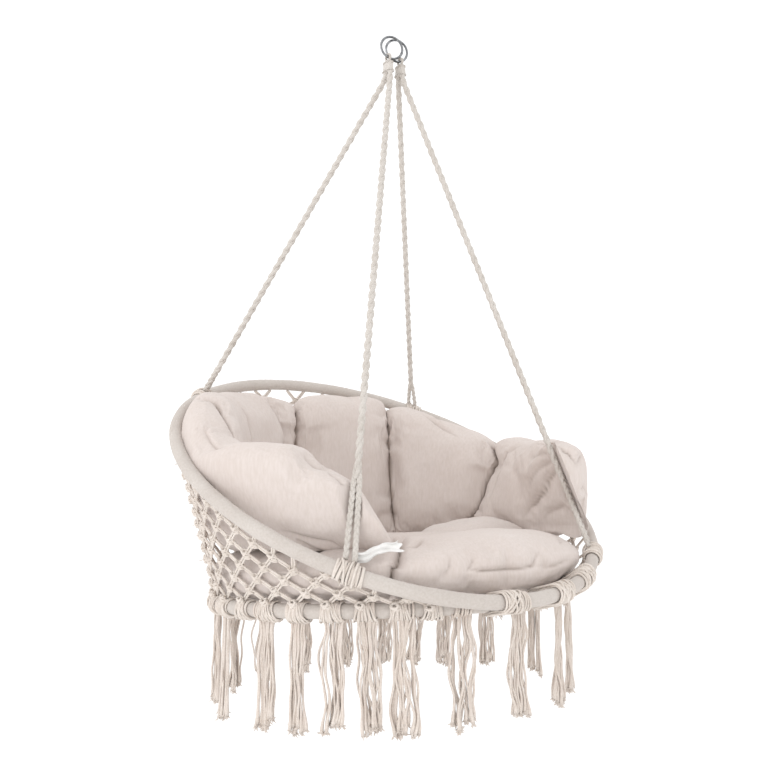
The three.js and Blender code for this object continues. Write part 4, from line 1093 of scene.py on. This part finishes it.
def make_back_cushion():
    """Horseshoe of plump panels between sewn channels, standing on the rim of the pad, with painted shade
    along its seams and folds.
    """
    degrees = back_bearings()[:, None]
    bearing = np.radians(degrees)
    turn = np.abs(bearing)
    share = smooth_step(turn, 0, pi / 2)
    shift = np.sign(bearing) * 0.026 * smooth_step(turn, radians(95), RIGHT_FRONT)
    base = 0.314 + share * 0.03 + shift
    lean = np.radians(5 + share * 11)
    reach = base - BACK_THICKNESS / 2
    rim = PAD_BASE + PAD_RIM + 0.0068
    lift_up = smooth_step(bearing, radians(130), RIGHT_FRONT) * 0.058
    floor = lower.centre[2] + reach * np.cos(bearing) * sin(LOWER_TILT) + rim * cos(LOWER_TILT) + lift_up
    to_end = np.minimum(degrees - LEFT_END_DEG, RIGHT_END_DEG - degrees)
    thickness = BACK_THICKNESS * (1 - smooth_step(16 - to_end, 0, 16) / 2)
    cap = np.sqrt(np.clip(1 - (1 - np.clip(to_end / 5.0, 0, 1)) ** 2, 0.004, 1))
    t = turns(BACK_COLUMNS)
    up = (back_top(degrees) - floor) / 2 * (1 - soft_power(np.cos(t), 0.62) * cap)
    deep = thickness / 2 * (1 - soft_power(np.sin(t), 0.66) * cap)
    most = net_reach(bearing, floor + up) - 0.0145
    out = np.minimum(base + up * np.tan(lean), most) - deep
    grid = np.stack([out * np.sin(bearing), lower.centre[1] + out * np.cos(bearing), floor + up], 2)

    def spot(bearing_deg, share):
        return np.interp(bearing_deg, degrees[:, 0], np.arange(BACK_ROWS)), share

    normals = outward_normals(grid)
    grid, fold_pins_and_shade = carve(grid, normals, BACK_GROOVES, spot)
    grid = grid + normals * lumps(grid, 0.1, 0.006, 3) + normals * lumps(grid, 0.035, 0.0018, 4)
    grid = press_ropes(grid)
    grid, pinched = carve(grid, outward_normals(grid), ROPE_GATHERS, spot)
    fold_pins_and_shade = np.maximum(fold_pins_and_shade, pinched)
    grid = press_ropes(grid + blow_up(grid, fold_pins_and_shade, 0.008, 2.2, -0.05))
    grid[..., 2] = np.maximum(grid[..., 2], floor - 0.003)
    place_cushion("panelled_back_cushion", grid, "back_cushion", fold_pins_and_shade)


def press_ropes(grid):
    """Moves the cushion off the front ropes: in from the left one, out from the right one up to the end."""
    points = grid.reshape(-1, 3).copy()
    clear = ROPE_RADIUS + 0.0012
    for side in (-1, 1):
        _, _, bend, foot, _ = rope_run(side, True)
        share = (points[:, 2] - bend[2]) / (foot[2] - bend[2])
        line = bend + (foot - bend) * np.minimum(share, 1)[:, None]
        out = units(line[:, :2] - lower.centre[:2])
        offset = points[:, :2] - line[:, :2]
        depth = (offset * out).sum(1)
        ahead = (offset * np.stack([-out[:, 1], out[:, 0]], 1)).sum(1) * -side
        below = np.clip((share - 1 + FRONT_SPLIT / norm(foot - bend)) / 0.16, 0, 1)
        beside = np.abs(ahead) if side < 0 else np.maximum(-ahead, 0)
        free = np.maximum(beside - 0.004 - 0.0075 * below, 0)
        rounded = np.sqrt(free ** 2 + 0.006 ** 2) - 0.006
        if side < 0:
            near = (np.abs(ahead) < 0.05) & (share > 0.45)
            held = (1 - smooth_step(share, 1.0, 1.07)) * (1 - smooth_step(-depth, 0.08, 0.12))
            limit = 2.4 * rounded - clear
            moved = np.where(near & (depth > limit), limit - depth, 0)
        else:
            held = (1 - smooth_step(-points[:, 2], 0.95, 0.985)) * smooth_step(share, 0.4, 0.5)
            held *= (1 - smooth_step(np.abs(ahead), 0.09, 0.13)) * (1 - smooth_step(-depth, 0.14, 0.18))
            softness = 0.0012 + 0.1 * rounded
            lack = clear - 1.05 * rounded - depth
            moved = softness * np.logaddexp(0, np.clip(lack / softness, -40, 400))
        points[:, :2] += out * (moved * held)[:, None]
    return points.reshape(grid.shape)


# Tie

TIE_ROWS = 45
TIE_COLUMNS = 13
TIE_HALF = 0.0088


def make_tie():
    """White tape that comes out from under the left arm, creased along its length."""
    low, high = (np.array(corner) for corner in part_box("cushion_tie"))
    start = vec(low[0], high[1], low[2] + 0.007)
    end = vec(high[0], low[1], high[2] - 0.007)
    way = unit(end - start)
    out = unit(vec(-way[1], way[0], 0))
    up = np.cross(way, out)
    t = np.linspace(0, 1, TIE_ROWS)[:, None, None]
    s = np.linspace(-1, 1, TIE_COLUMNS)[None, :, None]
    fold = 0.0017 * np.sin(6.0 * s + 5 * t) + 0.0012 * np.sin(11 * t - 3 * s)
    width = TIE_HALF * (1 - 0.28 * np.sin(pi * t) + 0.1 * np.sin(17 * t + 2 * s))
    droop = 0.0024 * np.sin(2.6 * pi * t)
    ragged = 0.0035 * np.sin(5.3 * s + 0.7) * t ** 6
    shape = Shape()
    shape.add(start + (end - start) * t + way * ragged + up * (width * s - droop) + out * fold, "flat")
    piece = shape.make("creased_cushion_tie", tape, "cushion_tie")
    thick = piece.modifiers.new("thickness", "SOLIDIFY")
    thick.thickness = 0.0008
    length = float(norm(end - start))


# Stage

FLOOR_REACH = 14.0
FLOOR_Z = -2.1
LIGHT_TARGET = Vector((0, 0, -0.9))
# Name, place, size and power
LIGHTS = (
    ("key", (-3.0, -1.4, 0.4), 1.6, 12),
    ("fill", (2.4, -2.0, 0.0), 2.5, 5),
    ("side", (-2.6, 1.2, 0.4), 2.0, 9),
    ("low", (-2.4, -1.6, -1.8), 1.8, 9),
)


def make_stage():
    """An even white surround, a pale floor far below and four soft lights."""
    world = bpy.data.worlds.new("studio")
    world.use_nodes = True
    background = world.node_tree.nodes["Background"]
    background.inputs["Color"].default_value = (1.0, 1.0, 1.0, 1)
    background.inputs["Strength"].default_value = 1.18
    scene.world = world
    corners = [(x * FLOOR_REACH, y * FLOOR_REACH, FLOOR_Z) for x, y in ((-1, -1), (1, -1), (1, 1), (-1, 1))]
    mesh = build_mesh("floor", corners, [(0, 1, 2, 3)])
    mesh.materials.append(make_material("pale floor", (2.0, 2.0), FLOOR, {"Roughness": 0.9}))
    add_object("floor", mesh)
    for name, place, size, power in LIGHTS:
        light = bpy.data.lights.new(name, "AREA")
        light.energy = power
        light.size = size
        light.color = (1.0, 0.99, 0.985)
        lamp = add_object(name, light)
        lamp.location = place
        lamp.rotation_euler = (LIGHT_TARGET - Vector(place)).to_track_quat("-Z", "Y").to_euler()
    scene.view_settings.view_transform = "Standard"


def make_camera():
    lens = bpy.data.cameras.new("camera")
    lens.lens = CAMERA_LENS_MM
    lens.sensor_width = 36
    camera = add_object("camera", lens)
    azimuth = radians(CAMERA_AZIMUTH_DEG)
    camera.location = (CAMERA_DISTANCE * sin(azimuth), -CAMERA_DISTANCE * cos(azimuth), CAMERA_HEIGHT)
    heading = azimuth + radians(CAMERA_YAW_DEG)
    camera.rotation_euler = (pi / 2 + radians(CAMERA_PITCH_DEG), 0, heading)
    scene.camera = camera


make_camera()
for label, side in (("left", -1), ("right", 1)):
    make_bight(label, side)
    make_neck(label, side)
    for fore in (True, False):
        make_rope(label, side, fore)
        make_lashing(label, side, fore)
make_sleeve("upper", upper)
make_sleeve("lower", lower)
for number, angle_deg in ((1, -176), (2, 167), (3, 154)):
    make_binding(number, angle_deg)
make_side_net()
make_seat_net()
for number, angle_deg in enumerate(TASSEL_ANGLES_DEG, 1):
    make_tassel(number, angle_deg)
make_seat_pad()
make_back_cushion()
make_tie()
for name in ("hanging_ring_left", "hanging_ring_right"):
    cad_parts[name].data.materials[0] = chrome
for name in ("upper_hoop_tube", "upper_hoop_joiner", "lower_hoop_tube", "lower_hoop_joiner"):
    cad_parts[name].data.materials[0] = steel
make_stage()
